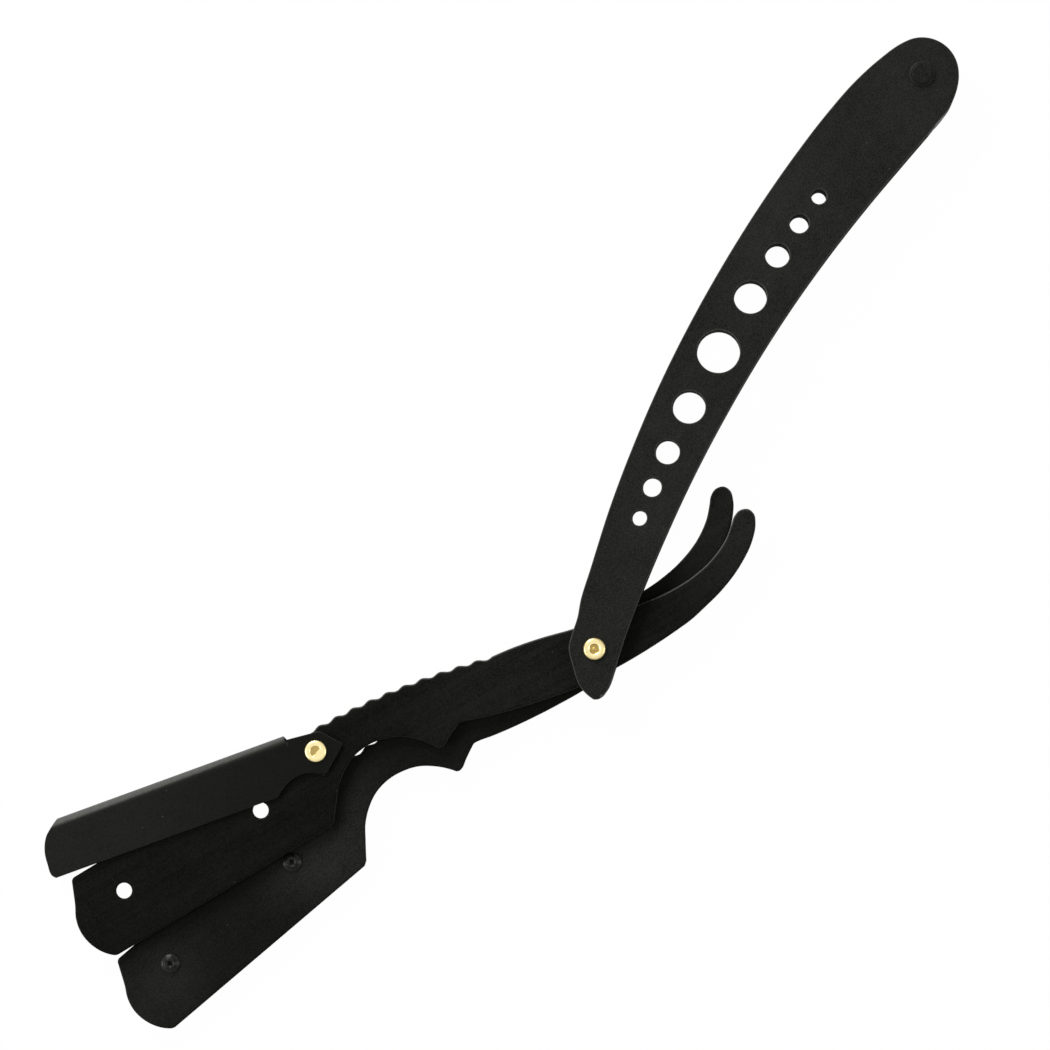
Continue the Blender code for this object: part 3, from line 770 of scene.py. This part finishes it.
class Nodes:
    """A node tree whose nodes are added by one method and wired by arithmetic."""

    def __init__(self, tree):
        self.tree = tree

    def add(self, kind, settings=None, inputs=None, output=0):
        node = self.tree.nodes.new(kind)
        for key, value in (settings or {}).items():
            setattr(node, key, value)
        for key, value in (inputs or {}).items():
            self.feed(node.inputs[key], value)
        return Value(self, node.outputs[output])

    def feed(self, socket, value):
        if isinstance(value, Value):
            self.tree.links.new(value.socket, socket)
        elif isinstance(value, tuple) and len(value) == 3 and socket.type == "RGBA":
            socket.default_value = (*value, 1)
        else:
            socket.default_value = value

    def ray(self, kind):
        """1 for rays of a kind and 0 for others."""
        return self.add("ShaderNodeLightPath", output=f"Is {kind} Ray")


class Finish(Nodes):
    """A piece's material."""

    def __init__(self, name):
        self.material = bpy.data.materials.new(name)
        self.material.use_nodes = True
        super().__init__(self.material.node_tree)
        self.shader = self.tree.nodes["Principled BSDF"]
        self.place = self.add("ShaderNodeTexCoord", output="Object")

    def vectors(self, operation, one, two, output=0):
        """A Vector Math node."""
        settings = {"operation": operation}
        return self.add("ShaderNodeVectorMath", settings, {0: one, 1: two}, output)

    def mapped(self, place, **inputs):
        """A place turned or stretched."""
        return self.add("ShaderNodeMapping", {}, {"Vector": place, **inputs})

    def turned_place(self, angle, centre):
        """Object coordinates about a centre, turned back by a piece's angle."""
        moved = self.vectors("SUBTRACT", self.place, (*centre, 0))
        return self.mapped(moved, Rotation=(0, 0, -angle))

    def noise(self, place, size, detail=2.0, roughness=0.5):
        """Soft noise with features of about the given size, from 0 to 1."""
        inputs = {"Vector": place, "Scale": 1 / size, "Detail": detail, "Roughness": roughness}
        return self.add("ShaderNodeTexNoise", {}, inputs)

    def cells(self, place, size):
        """The distance to the nearest of scattered points, in shares of their spacing."""
        return self.add("ShaderNodeTexVoronoi", {}, {"Vector": place, "Scale": 1 / size})

    def distance(self, centre):
        """The distance from an upright axis through a place in the frame, in metres."""
        level = self.vectors("MULTIPLY", self.place, (1, 1, 0))
        return self.vectors("DISTANCE", level, (*centre, 0), "Value")

    def rings(self, away, pitch, wander):
        """Waves of a pitch round an axis, shifted by a number that wanders."""
        return (away * (2 * math.pi / pitch) + wander).sine()

    def edge_distance(self):
        """The distance from the piece's edge, in millimetres."""
        return self.add("ShaderNodeAttribute", {"attribute_name": "edge_distance"}, {}, "Fac")

    def blend(self, mask, one, two):
        """One colour where the mask is 0 and the other where it is 1."""
        inputs = {MIX_FACTOR: mask}
        for key, value in ((MIX_ONE, one), (MIX_TWO, two)):
            inputs[key] = value if isinstance(value, Value) else tuple(value)
        return self.add("ShaderNodeMix", {"data_type": "RGBA"}, inputs, MIX_RESULT)

    def bump(self, height, distance, strength):
        inputs = {"Height": height, "Distance": distance, "Strength": strength}
        return self.add("ShaderNodeBump", {}, inputs)

    def finish(self, **sockets):
        """Feeds the shader's sockets; an underscore in a name stands for a space."""
        for name, value in sockets.items():
            self.feed(self.shader.inputs[name.replace("_", " ")], value)
        return self.material


def scaled(tint, times):
    """A colour with each part multiplied."""
    return tuple(times * part for part in tint)


def painted_light_at(angle, *spots):
    """A coat's pools of painted light from places on an arm, reaches in millimetres and strengths.
    """
    return [(in_frame(place, angle), reach * MM, strength) for place, reach, strength in spots]


def black_coat(
    name, colours, angle=0, centre=(0, 0), lift=1.0, gloss=0.07, streaks=0.3,
    painted_light_pools=(), edge_rub_and_highlight=0.6, edge_rub_and_highlight_reach=0.34, nicks=(),
):
    """A matt black coat: grain, clouds, streaks along the piece, specks, rubbed edges that also
    carry a painted highlight, and pools of painted light.

    lift multiplies the coat's colour. Each pool of painted light is a paler area's place, reach
    and strength, and each nick is a pale spot's place. The rubbing's strength and width in mm set
    the paler edges: partly rubbed coat, partly a painted highlight on the edge.
    """
    coat = Finish(name)
    own = coat.turned_place(angle, centre)
    grain = coat.noise(own, 0.26 * MM, 1.0, 0.7)
    cloud = coat.noise(own, 14 * MM, 3.0, 0.55)
    mottle = coat.noise(own, 2.2 * MM, 3.0, 0.65)
    streak = coat.noise(coat.mapped(own, Scale=(0.03, 1, 1)), 0.5 * MM, 3.0, 0.65)
    band = coat.noise(coat.mapped(own, Scale=(0.05, 1, 1)), 2.4 * MM)
    speck = coat.cells(own, 2.6 * MM).between(0.05, 0.025)
    speck = speck * coat.noise(own, 3.1 * MM).between(0.45, 0.6)
    for place in nicks:
        speck = speck + coat.distance(place).between(0.5 * MM, 0.1 * MM)
    # Paler edges: the coat rubbed through, and a painted highlight where edges catch the light.
    ragged_edge = coat.edge_distance() + 0.12 * coat.noise(own, 1.1 * MM, 3.0, 0.7)
    rubbed_and_highlighted = ragged_edge.between(edge_rub_and_highlight_reach, 0.04) * edge_rub_and_highlight
    tone = 0.66 * grain + 0.18 * cloud + 0.16 * mottle
    tone = tone + streaks * (0.5 * streak + 0.5 * band - 0.5)
    base = coat.blend(tone.between(0.22, 0.78), colours.coat_dark, scaled(colours.coat, lift))
    # Painted light: paler pools laid into the coat's colour where light falls on the piece.
    if painted_light_pools:
        glow = 0.0
        for place, reach, strength in painted_light_pools:
            glow = glow + coat.distance(place).between(reach, 0) * strength
        base = coat.blend(glow * tone.between(0.2, 0.66), base, scaled(colours.coat_rub_and_painted_light, 0.3))
    base = coat.blend(speck, base, colours.coat_speck)
    relief = grain + streak * (0.5 * streaks) + mottle * 0.6
    return coat.finish(
        Base_Color=coat.blend(rubbed_and_highlighted, base, colours.coat_rub_and_painted_light),
        Roughness=0.42 + 0.1 * cloud + 0.12 * grain - 0.08 * streak - 0.1 * rubbed_and_highlighted,
        Specular_IOR_Level=gloss,
        Specular_Tint=COAT_GLEAM,
        Normal=coat.bump(relief, 0.016 * MM, 0.6),
    )


def brass(name, colours, centre, rim, recess_shade):
    """Polished brass with turning lines, dents and patches of tarnish; painted shade darkens the
    sunk middle and the rim.
    """
    metal = Finish(name)
    away = metal.distance(centre)
    patch = metal.noise(metal.place, 0.9 * MM, 3.0, 0.6)
    dent = metal.noise(metal.place, 0.5 * MM)
    # Painted shade: darker brass in the sunk middle, deepest under the crest.
    sunk = (metal.edge_distance() + 0.06 * patch).between(0.1, 0.32)
    base = metal.blend(sunk * recess_shade, colours.brass, colours.brass_tarnish_and_shade)
    # Random patches of tarnish, and painted shade towards the rim.
    tarnish_and_rim_shade = patch.between(0.5, 0.75) * 0.15 + away.between(0.62 * rim, rim) * 0.6
    lines = metal.rings(away, 0.07 * MM, patch * 5.0)
    return metal.finish(
        Base_Color=metal.blend(tarnish_and_rim_shade, base, colours.brass_tarnish_and_shade),
        Metallic=1.0,
        Roughness=0.26 + 0.12 * patch + 0.12 * sunk,
        Normal=metal.bump(lines * 0.12 + dent, 0.012 * MM, 0.5),
    )


def plain_metal(name, base, centre, line_pitch):
    """Ground steel or zinc: lines about the axis, cloudy roughness and dull patches."""
    metal = Finish(name)
    patch = metal.noise(metal.place, 1.6 * MM, 3.0, 0.6)
    grain = metal.noise(metal.place, 0.12 * MM, 2.0, 0.6)
    lines = metal.rings(metal.distance(centre), line_pitch, patch * 4.0)
    return metal.finish(
        Base_Color=metal.blend(patch.between(0.35, 0.75), base, scaled(base, 0.55)),
        Metallic=0.9,
        Roughness=0.34 + 0.2 * patch,
        Normal=metal.bump(lines * 0.4 + grain, 0.01 * MM, 0.5),
    )


def black_steel(name, colours):
    """Blackened steel: cloudy, finely pitted, and glossier than the coat."""
    metal = Finish(name)
    patch = metal.noise(metal.place, 0.7 * MM, 3.0, 0.6)
    grain = metal.noise(metal.place, 0.14 * MM, 2.0, 0.6)
    cloudy = (0.6 * patch + 0.4 * grain).between(0.3, 0.75)
    return metal.finish(
        Base_Color=metal.blend(cloudy, colours.coat_dark, scaled(colours.coat, 3.2)),
        Specular_IOR_Level=0.12,
        Roughness=0.22 + 0.12 * patch,
        Normal=metal.bump(grain + patch, 0.008 * MM, 0.4),
    )


class RAZOR_OT_scales(bpy.types.Operator):
    """Build the two pierced scales of the handle"""

    bl_idname = "razor.scales"
    bl_label = "Scales"

    def execute(self, context):
        handle, colours = context.scene.razor_handle, context.scene.razor_colours
        rim = scale_outline(handle, HANDLE_STEP)
        holes = scale_holes(handle)
        holes.append(circle((0, 0), handle.pivot_bore_radius))
        holes.append(circle((0, handle.chord), handle.end_bore_radius))
        nick = (0.555 * handle.pivot_width, -0.7 * handle.pivot_width)
        look = {"lift": 3.0, "streaks": 0.15}
        # Painted light: a paler pool on the handle's side.
        look["painted_light_pools"] = [(handle_point(handle, 0.69, -0.6), 26 * MM, 0.3)]
        for node, nicks in (("front_scale", (nick,)), ("rear_scale", ())):
            made = sheet(rim, holes, *levels(node), handle.rounding, HANDLE_CELL)
            coat = black_coat(node + "_coat", colours, math.pi / 2, nicks=nicks, **look)
            piece(node, *made, "handle", "handle_black", coat)
        return {"FINISHED"}


class RAZOR_OT_arms(bpy.types.Operator):
    """Build the two arms with their thumb grooves and holes"""

    bl_idname = "razor.arms"
    bl_label = "Arms"

    def execute(self, context):
        arms, colours = context.scene.razor_arms, context.scene.razor_colours
        rim = arm_outline(arms, ARM_STEP)
        tip, heel = blade_places(arms)
        pivot = circle((0, 0), arms.bore_radius)
        cover_bore = circle(cover_rivet_place(arms), arms.cover_bore_radius)
        front_holes = [circle(place, arms.blade_hole_radius) for place in (tip, heel)]
        rear_holes = [circle(place, arms.stud_bore_radius) for place in (tip, heel)]
        front, rear = arms.front_turn, arms.front_turn + arms.fan
        front_look = {"lift": 1.1, "gloss": 0.03, "streaks": 0.5}
        # Painted light: paler pools on the arm, towards the shank and on the tang.
        front_look["painted_light_pools"] = painted_light_at(
            front,
            (arm_point(arms.notch_tip_reach / 3, 0), 42, 0.3),
            ((arms.tang_reach, 0.9 * arms.tang_rise), 28, 0.6),
        )
        rear_look = {"lift": 1.3, "gloss": 0.04, "streaks": 0.2}
        # Painted light: paler pools round the studs, by the heel, on the tang and at the nose.
        rear_look["painted_light_pools"] = painted_light_at(
            rear,
            (tip, 13, 0.3),
            (heel, 14, 0.35),
            (arm_point(arms.heel_reach, arms.stud_rise / 2), 20, 0.6),
            ((0.85 * arms.tang_reach, 0.7 * arms.tang_rise), 24, 0.6),
            (arm_point(arms.nose_reach, 0), 18, 0.35),
        )
        builds = (
            ("front_arm", front, [pivot, *front_holes, cover_bore], front_look),
            ("rear_arm", rear, [pivot, *rear_holes], rear_look),
        )
        for node, angle, holes, look in builds:
            points, faces, depth = sheet(rim, holes, *levels(node), arms.rounding, ARM_CELL)
            # Edges below the back's line are pulled in, so the back keeps the widest pale edge:
            # rubbing, and a painted highlight on edges facing the light.
            depth = depth + EDGE_RUB_AND_HIGHLIGHT_GAP * (points[:, 1] < back_line(arms, points[:, 0]))
            coat = black_coat(node + "_coat", colours, angle, edge_rub_and_highlight=1.0, edge_rub_and_highlight_reach=0.42, **look)
            piece(node, turned_about(points, angle), faces, depth, node, "arm_black", coat)
        return {"FINISHED"}


class RAZOR_OT_cover(bpy.types.Operator):
    """Build the folded cover that locks the blade in"""

    bl_idname = "razor.cover"
    bl_label = "Cover"

    def execute(self, context):
        arms, cover = context.scene.razor_arms, context.scene.razor_cover
        floor, top = levels("lock_cover")
        blank, bend_start = cover_blank(arms, cover, top - floor, COVER_STEP)
        bore = circle((0, -bend_start), cover.bore_radius)
        made = sheet(blank, [bore], -cover.sheet, 0, cover.rounding, COVER_CELL)
        flat, faces, depth = made
        along, across = flat[:, 0], flat[:, 1]
        # A painted highlight along the fold's crest: the distance from the crest's middle goes
        # into the edge distance, so the coat's pale edge colour paints it, narrower towards the
        # ear.
        fold_middle = (cover.bend_radius * (np.pi - 2) + top - floor) / 2
        cover_length = -along.min()
        to_ear = np.clip(1 + along / cover_length, 0, 1)
        highlight_half = FOLD_HIGHLIGHT_HALF * (1 - EAR_NARROWING * to_ear**2)
        from_fold = FOLD_HIGHLIGHT_DEPTH * ((across - fold_middle) / highlight_half) ** 4
        from_edge = depth + cover.rounding
        from_fold = np.where(along > -cover.fold_setback, from_edge, from_fold)
        depth = np.minimum(from_edge, from_fold)
        place = in_frame(cover_rivet_place(arms), arms.front_turn)
        angle = arms.front_turn + cover.turn
        # Painted light: a paler pool towards the cover's nose.
        nose_painted_light = (in_frame((-cover_length, 0), angle) + place, 1.2 * cover_length, 0.3)
        look = {"lift": 0.45, "gloss": 0.08, "streaks": 0.15, "painted_light_pools": [nose_painted_light], "edge_rub_and_highlight": 0.82}
        coat = black_coat("cover_coat", context.scene.razor_colours, angle, place, **look)
        points = turned_about(folded(flat, cover, bend_start, floor, top), angle, place)
        piece("lock_cover", points, faces, depth, "lock_cover", "cover_black", coat)
        return {"FINISHED"}


def rivet(shares, radius, top, head_height, shank, rounding, **kind):
    """A rivet: its head's section from shares, then the rounded corners of what is under it."""
    head_floor = top - head_height
    head = smooth_run(shares, HEAD_STEP_SHARE) * (radius, head_height) + (0, head_floor)
    head[0, 0] = 0
    under = rounded([(radius, head_floor), *shank], rounding)
    return revolved(np.vstack((head, under)), **kind)


def sunk_depth(points, radii, radius, top):
    """How far the sunk middle of a rolled head lies under its crest, and 0 outside it."""
    return np.where(radii < SUNK_SHARE * radius, top - points[:, 2], 0)


class RAZOR_OT_rivets(bpy.types.Operator):
    """Build the pivot rivet, the cover's rivet and the rivet at the handle's end"""

    bl_idname = "razor.rivets"
    bl_label = "Rivets"

    def execute(self, context):
        scene = context.scene
        self.pivot(scene.razor_fasteners, scene.razor_colours)
        self.cover(scene.razor_arms, scene.razor_fasteners, scene.razor_colours)
        self.end(scene.razor_handle, scene.razor_fasteners, scene.razor_colours)
        return {"FINISHED"}

    def pivot(self, sizes, colours):
        """The pivot rivet: a rolled head in front and a hollow one behind."""
        floor, top = levels("pivot_rivet")
        radius, shank = sizes.pivot_head_radius, sizes.pivot_shank_radius
        rear, front = sizes.rear_head_height, sizes.front_head_height
        corners = [(shank, top - front), (shank, rear), (radius, rear), (radius, floor)]
        hollow = REAR_HOLLOW_DEPTH * rear
        corners += [(REAR_HOLLOW_RIM * radius, floor), (REAR_HOLLOW_FLOOR * radius, hollow)]
        corners.append((0, hollow))
        made = rivet(ROLLED_HEAD_SHARES, radius, top, front, corners, sizes.rounding)
        points, faces, radii = made
        depth = sunk_depth(points, radii, radius, top)
        finish = brass("pivot_brass", colours, (0, 0), radius, 0.95)
        piece("pivot_rivet", points, faces, depth, "handle", "rivet_brass", finish)

    def cover(self, arms, sizes, colours):
        """The cover's rivet, its roll laid over the sunk middle on one side."""
        place = in_frame(cover_rivet_place(arms), arms.front_turn)
        floor, top = levels("cover_rivet")
        radius, shank = sizes.cover_head_radius, sizes.cover_shank_radius
        height = sizes.cover_head_height
        head_floor = top - height

        def half_filled(radii, angle, level):
            """The heights with the roll laid over the middle, up to a straight lip."""
            across = radii * np.cos(angle - LIP_TURN) / radius
            ease = np.clip((across - LIP_PLACE) / LIP_WIDTH, 0, 1)
            ease = ease * ease * (3 - 2 * ease)
            crest = head_floor + LIP_CREST * height
            hollow = (radii < SUNK_SHARE * radius) & (level > head_floor)
            return np.where(hollow, np.maximum(level, level + (crest - level) * ease), level)

        corners = [(shank, head_floor), (shank, floor), (0, floor)]
        kind = {"place": place, "reshape": half_filled}
        points, faces, radii = rivet(
            SUNK_HEAD_SHARES, radius, top, height, corners, sizes.rounding, **kind
        )
        depth = sunk_depth(points, radii, radius, top)
        finish = brass("cover_rivet_brass", colours, place, 1.15 * radius, 0.9)
        piece("cover_rivet", points, faces, depth, "front_arm", "rivet_brass", finish)

    def end(self, handle, sizes, colours):
        """The domed rivet at the handle's far end."""
        floor, top = levels("handle_end_rivet")
        radius, shank = sizes.end_head_radius, sizes.end_shank_radius
        rear, front = sizes.rear_head_height, sizes.front_head_height
        corners = [(shank, top - front), (shank, rear), (radius, rear), (radius, floor)]
        corners.append((0, floor))
        place = (0, handle.chord)
        made = rivet(DOME_SHARES, radius, top, front, corners, sizes.rounding, place=place)
        points, faces, radii = made
        finish = black_coat("end_rivet_coat", colours, lift=2.6, streaks=0.0, edge_rub_and_highlight=0.15)
        depth = np.abs(radius - radii)
        piece("handle_end_rivet", points, faces, depth, "handle", "rivet_black", finish)


class RAZOR_OT_studs(bpy.types.Operator):
    """Build the two studs that carry the blade"""

    bl_idname = "razor.studs"
    bl_label = "Blade studs"

    def execute(self, context):
        arms, sizes = context.scene.razor_arms, context.scene.razor_fasteners
        angle = arms.front_turn + arms.fan
        ring_floor = levels("rear_arm")[1] + sizes.seat_gap
        for node, place in zip(("tip_blade_stud", "heel_blade_stud"), blade_places(arms)):
            floor, top = levels(node)
            pin, ring = sizes.stud_pin_radius, sizes.stud_ring_radius
            dimple, shank = sizes.stud_dimple_radius, sizes.stud_shank_radius
            skirt = ring_floor + sizes.stud_ring_height
            lip = (skirt + top) / 2
            profile = [
                (0, top - sizes.stud_dimple_depth),
                (0.8 * dimple, lip),
                ((pin + dimple) / 2, top + (top - lip) / 2),
                (pin, lip),
                (pin, skirt),
                (ring, ring_floor + sizes.stud_ring_height / 7),
                (ring, ring_floor),
                (shank, ring_floor),
                (shank, floor),
                (0, floor),
            ]
            centre = in_frame(place, angle)
            points, faces, depth = revolved(rounded(profile, 5 * sizes.rounding), centre)
            finish = black_steel(node + "_black", context.scene.razor_colours)
            piece(node, points, faces, depth, "rear_arm", "rivet_black", finish)
        return {"FINISHED"}


class RAZOR_OT_washers(bpy.types.Operator):
    """Build the three washers on the pivot"""

    bl_idname = "razor.washers"
    bl_label = "Washers"

    def execute(self, context):
        sizes, colours = context.scene.razor_fasteners, context.scene.razor_colours
        for node in ("front_pivot_washer", "middle_pivot_washer", "rear_pivot_washer"):
            floor, top = levels(node)
            bore, rim = sizes.washer_bore, sizes.washer_rim
            seam = ((bore + rim) / 2, top)
            corners = [seam, (rim, top), (rim, floor), (bore, floor), (bore, top), seam]
            points, faces, depth = revolved(rounded(corners, sizes.rounding)[:-1], closed=True)
            finish = plain_metal(node + "_steel", colours.steel, (0, 0), 0.09 * MM)
            piece(node, points, faces, depth, "handle", "washer_steel", finish)
        return {"FINISHED"}


class RAZOR_OT_spacer(bpy.types.Operator):
    """Build the spacer between the scales at the handle's far end"""

    bl_idname = "razor.spacer"
    bl_label = "Spacer"

    def execute(self, context):
        handle = context.scene.razor_handle
        start, last = handle.spacer_start / handle.chord, HANDLE_WIDTH_SHARES[-1][0]
        inset = handle.spacer_inset
        right, left = (
            [handle_point(handle, along, side, inset) for along in ends]
            for side, ends in ((1, (start, last)), (-1, (last, start)))
        )
        runs = [[*right, *handle_end(handle, inset), *left], [left[-1], right[0]]]
        place = (0, handle.chord)
        hole = circle(place, handle.end_bore_radius)
        node = "handle_end_spacer"
        made = sheet(
            outline(runs, HANDLE_STEP), [hole], *levels(node), handle.rounding, HANDLE_CELL
        )
        finish = plain_metal("spacer_zinc", context.scene.razor_colours.zinc, place, 0.6 * MM)
        piece(node, *made, "handle", "spacer_grey", finish)
        return {"FINISHED"}


def facing(place, target, up):
    """The turn and place of a lamp or camera that looks from a place at a target."""
    back = (place - target) / np.linalg.norm(place - target)
    side = np.cross(up, back)
    side /= np.linalg.norm(side)
    turned = np.column_stack((side, np.cross(back, side), back, place))
    return Matrix(np.vstack((turned, (0, 0, 0, 1))).tolist())


class RAZOR_OT_stage(bpy.types.Operator):
    """Lay the table, hang the lamps and set the camera"""

    bl_idname = "razor.stage"
    bl_label = "Stage"

    def execute(self, context):
        stage = context.scene.razor_stage
        context.scene.view_settings.view_transform = "Standard"
        right = np.array((math.cos(stage.roll), math.sin(stage.roll), 0))
        up = np.array((-math.sin(stage.roll), math.cos(stage.roll), 0))
        above = np.array((0, 0, 1))
        centre = right * stage.centre_right + up * stage.centre_up

        camera = bpy.data.cameras.new("view")
        camera.lens = camera.sensor_width * stage.camera_height / stage.view_width
        camera.shift_x, camera.shift_y = stage.shift_right, stage.shift_up
        camera.clip_start = 0.05
        lean = right * stage.lean_right + up * stage.lean_up
        eye = centre + lean + above * stage.camera_height
        context.scene.camera = self.hung(camera, facing(eye, centre, up))

        for name, ((to_right, upwards, height), breadth) in LAMPS.items():
            lamp = bpy.data.lights.new(name, "AREA")
            lamp.shape = "DISK"
            lamp.size = breadth
            lamp.energy = getattr(stage, name + "_power")
            place = centre + to_right * right + upwards * up + height * above
            self.hung(lamp, facing(place, centre, (0, 1, 0)))

        world = bpy.data.worlds.new("surround")
        world.use_nodes = True
        context.scene.world = world
        self.surround(world.node_tree, stage.world_strength)
        table = self.table(centre, stage)
        return {"FINISHED"}

    def hung(self, data, place):
        """A lamp, camera or table in the scene."""
        made = bpy.data.objects.new(data.name, data)
        made.matrix_world = place
        bpy.context.scene.collection.objects.link(made)
        return made

    def surround(self, tree, strength):
        """The world lights the object weakly, and looks white to the camera and in gloss."""
        nodes, background = Nodes(tree), tree.nodes["Background"].inputs
        seen = nodes.ray("Camera").larger(nodes.ray("Glossy").larger(nodes.ray("Transmission")))
        level = nodes.add("ShaderNodeMapRange", {}, {"Value": seen, "To Min": strength})
        nodes.feed(background["Strength"], level)
        nodes.feed(background["Color"], (1, 1, 1))

    def table(self, centre, stage):
        """A square grid just under the object."""
        spots = np.linspace(-TABLE_HALF, TABLE_HALF, TABLE_POINTS)
        across, along = (part.ravel() for part in np.meshgrid(spots, spots))
        level = np.full(across.size, TABLE_LEVEL)
        points = np.column_stack((across + centre[0], along + centre[1], level))
        row, column = np.indices((TABLE_POINTS - 1, TABLE_POINTS - 1))
        first = (row * TABLE_POINTS + column).ravel()
        next_row = first + TABLE_POINTS
        faces = np.column_stack((first, first + 1, next_row + 1, next_row))
        mesh = bpy.data.meshes.new("table")
        mesh.from_pydata(points.tolist(), [], faces.tolist())
        mesh.materials.append(self.table_finish(stage))
        return self.hung(mesh, Matrix())

    def table_finish(self, stage):
        """A pale table that the camera sees as nearly plain white, with the object's shadow."""
        table = Finish("table_white")
        grain = table.noise(table.place, 0.8 * MM)
        pale = stage.floor_colour
        table.finish(
            Base_Color=table.blend(grain, pale, scaled(pale, 0.98)),
            Roughness=0.9,
            Specular_IOR_Level=0.0,
        )
        glow = table.add("ShaderNodeEmission", {}, {"Color": (1.0, 1.0, 1.0), "Strength": 1.0})
        plain = Value(table, table.shader.outputs[0])
        seen = table.ray("Camera") * stage.floor_glow
        mixed = table.add("ShaderNodeMixShader", {}, {0: seen, 1: plain, 2: glow})
        table.feed(table.tree.nodes["Material Output"].inputs["Surface"], mixed)
        return table.material


class RAZOR_PT_panel(bpy.types.Panel):
    """The razor's build steps, sizes and colours"""

    bl_idname = "RAZOR_PT_panel"
    bl_label = "Razor"
    bl_space_type = "VIEW_3D"
    bl_region_type = "UI"
    bl_category = "Razor"

    def draw(self, context):
        for step in OPERATORS:
            self.layout.operator(step.bl_idname)
        for name, group in GROUPS.items():
            box = self.layout.box()
            box.label(text=name.removeprefix("razor_").capitalize())
            for key in group.__annotations__:
                box.prop(getattr(context.scene, name), key)


GROUPS = {
    "razor_arms": ArmSizes,
    "razor_cover": CoverSizes,
    "razor_handle": HandleSizes,
    "razor_fasteners": FastenerSizes,
    "razor_colours": FinishColours,
    "razor_stage": StageSizes,
}
OPERATORS = (
    RAZOR_OT_scales,
    RAZOR_OT_arms,
    RAZOR_OT_cover,
    RAZOR_OT_rivets,
    RAZOR_OT_studs,
    RAZOR_OT_washers,
    RAZOR_OT_spacer,
    RAZOR_OT_stage,
)


def register():
    """Register the classes and put the sizes on the scene."""
    for group in (*GROUPS.values(), *OPERATORS, RAZOR_PT_panel):
        bpy.utils.register_class(group)
    for name, group in GROUPS.items():
        setattr(bpy.types.Scene, name, bpy.props.PointerProperty(type=group))


def unregister():
    """Take the sizes off the scene and unregister the classes."""
    for name in GROUPS:
        delattr(bpy.types.Scene, name)
    for group in reversed((*GROUPS.values(), *OPERATORS, RAZOR_PT_panel)):
        bpy.utils.unregister_class(group)


def main():
    """Build every piece and the stage."""
    register()
    for step in OPERATORS:
        family, name = step.bl_idname.split(".")
        getattr(getattr(bpy.ops, family), name)()


if __name__ == "__main__":
    main()
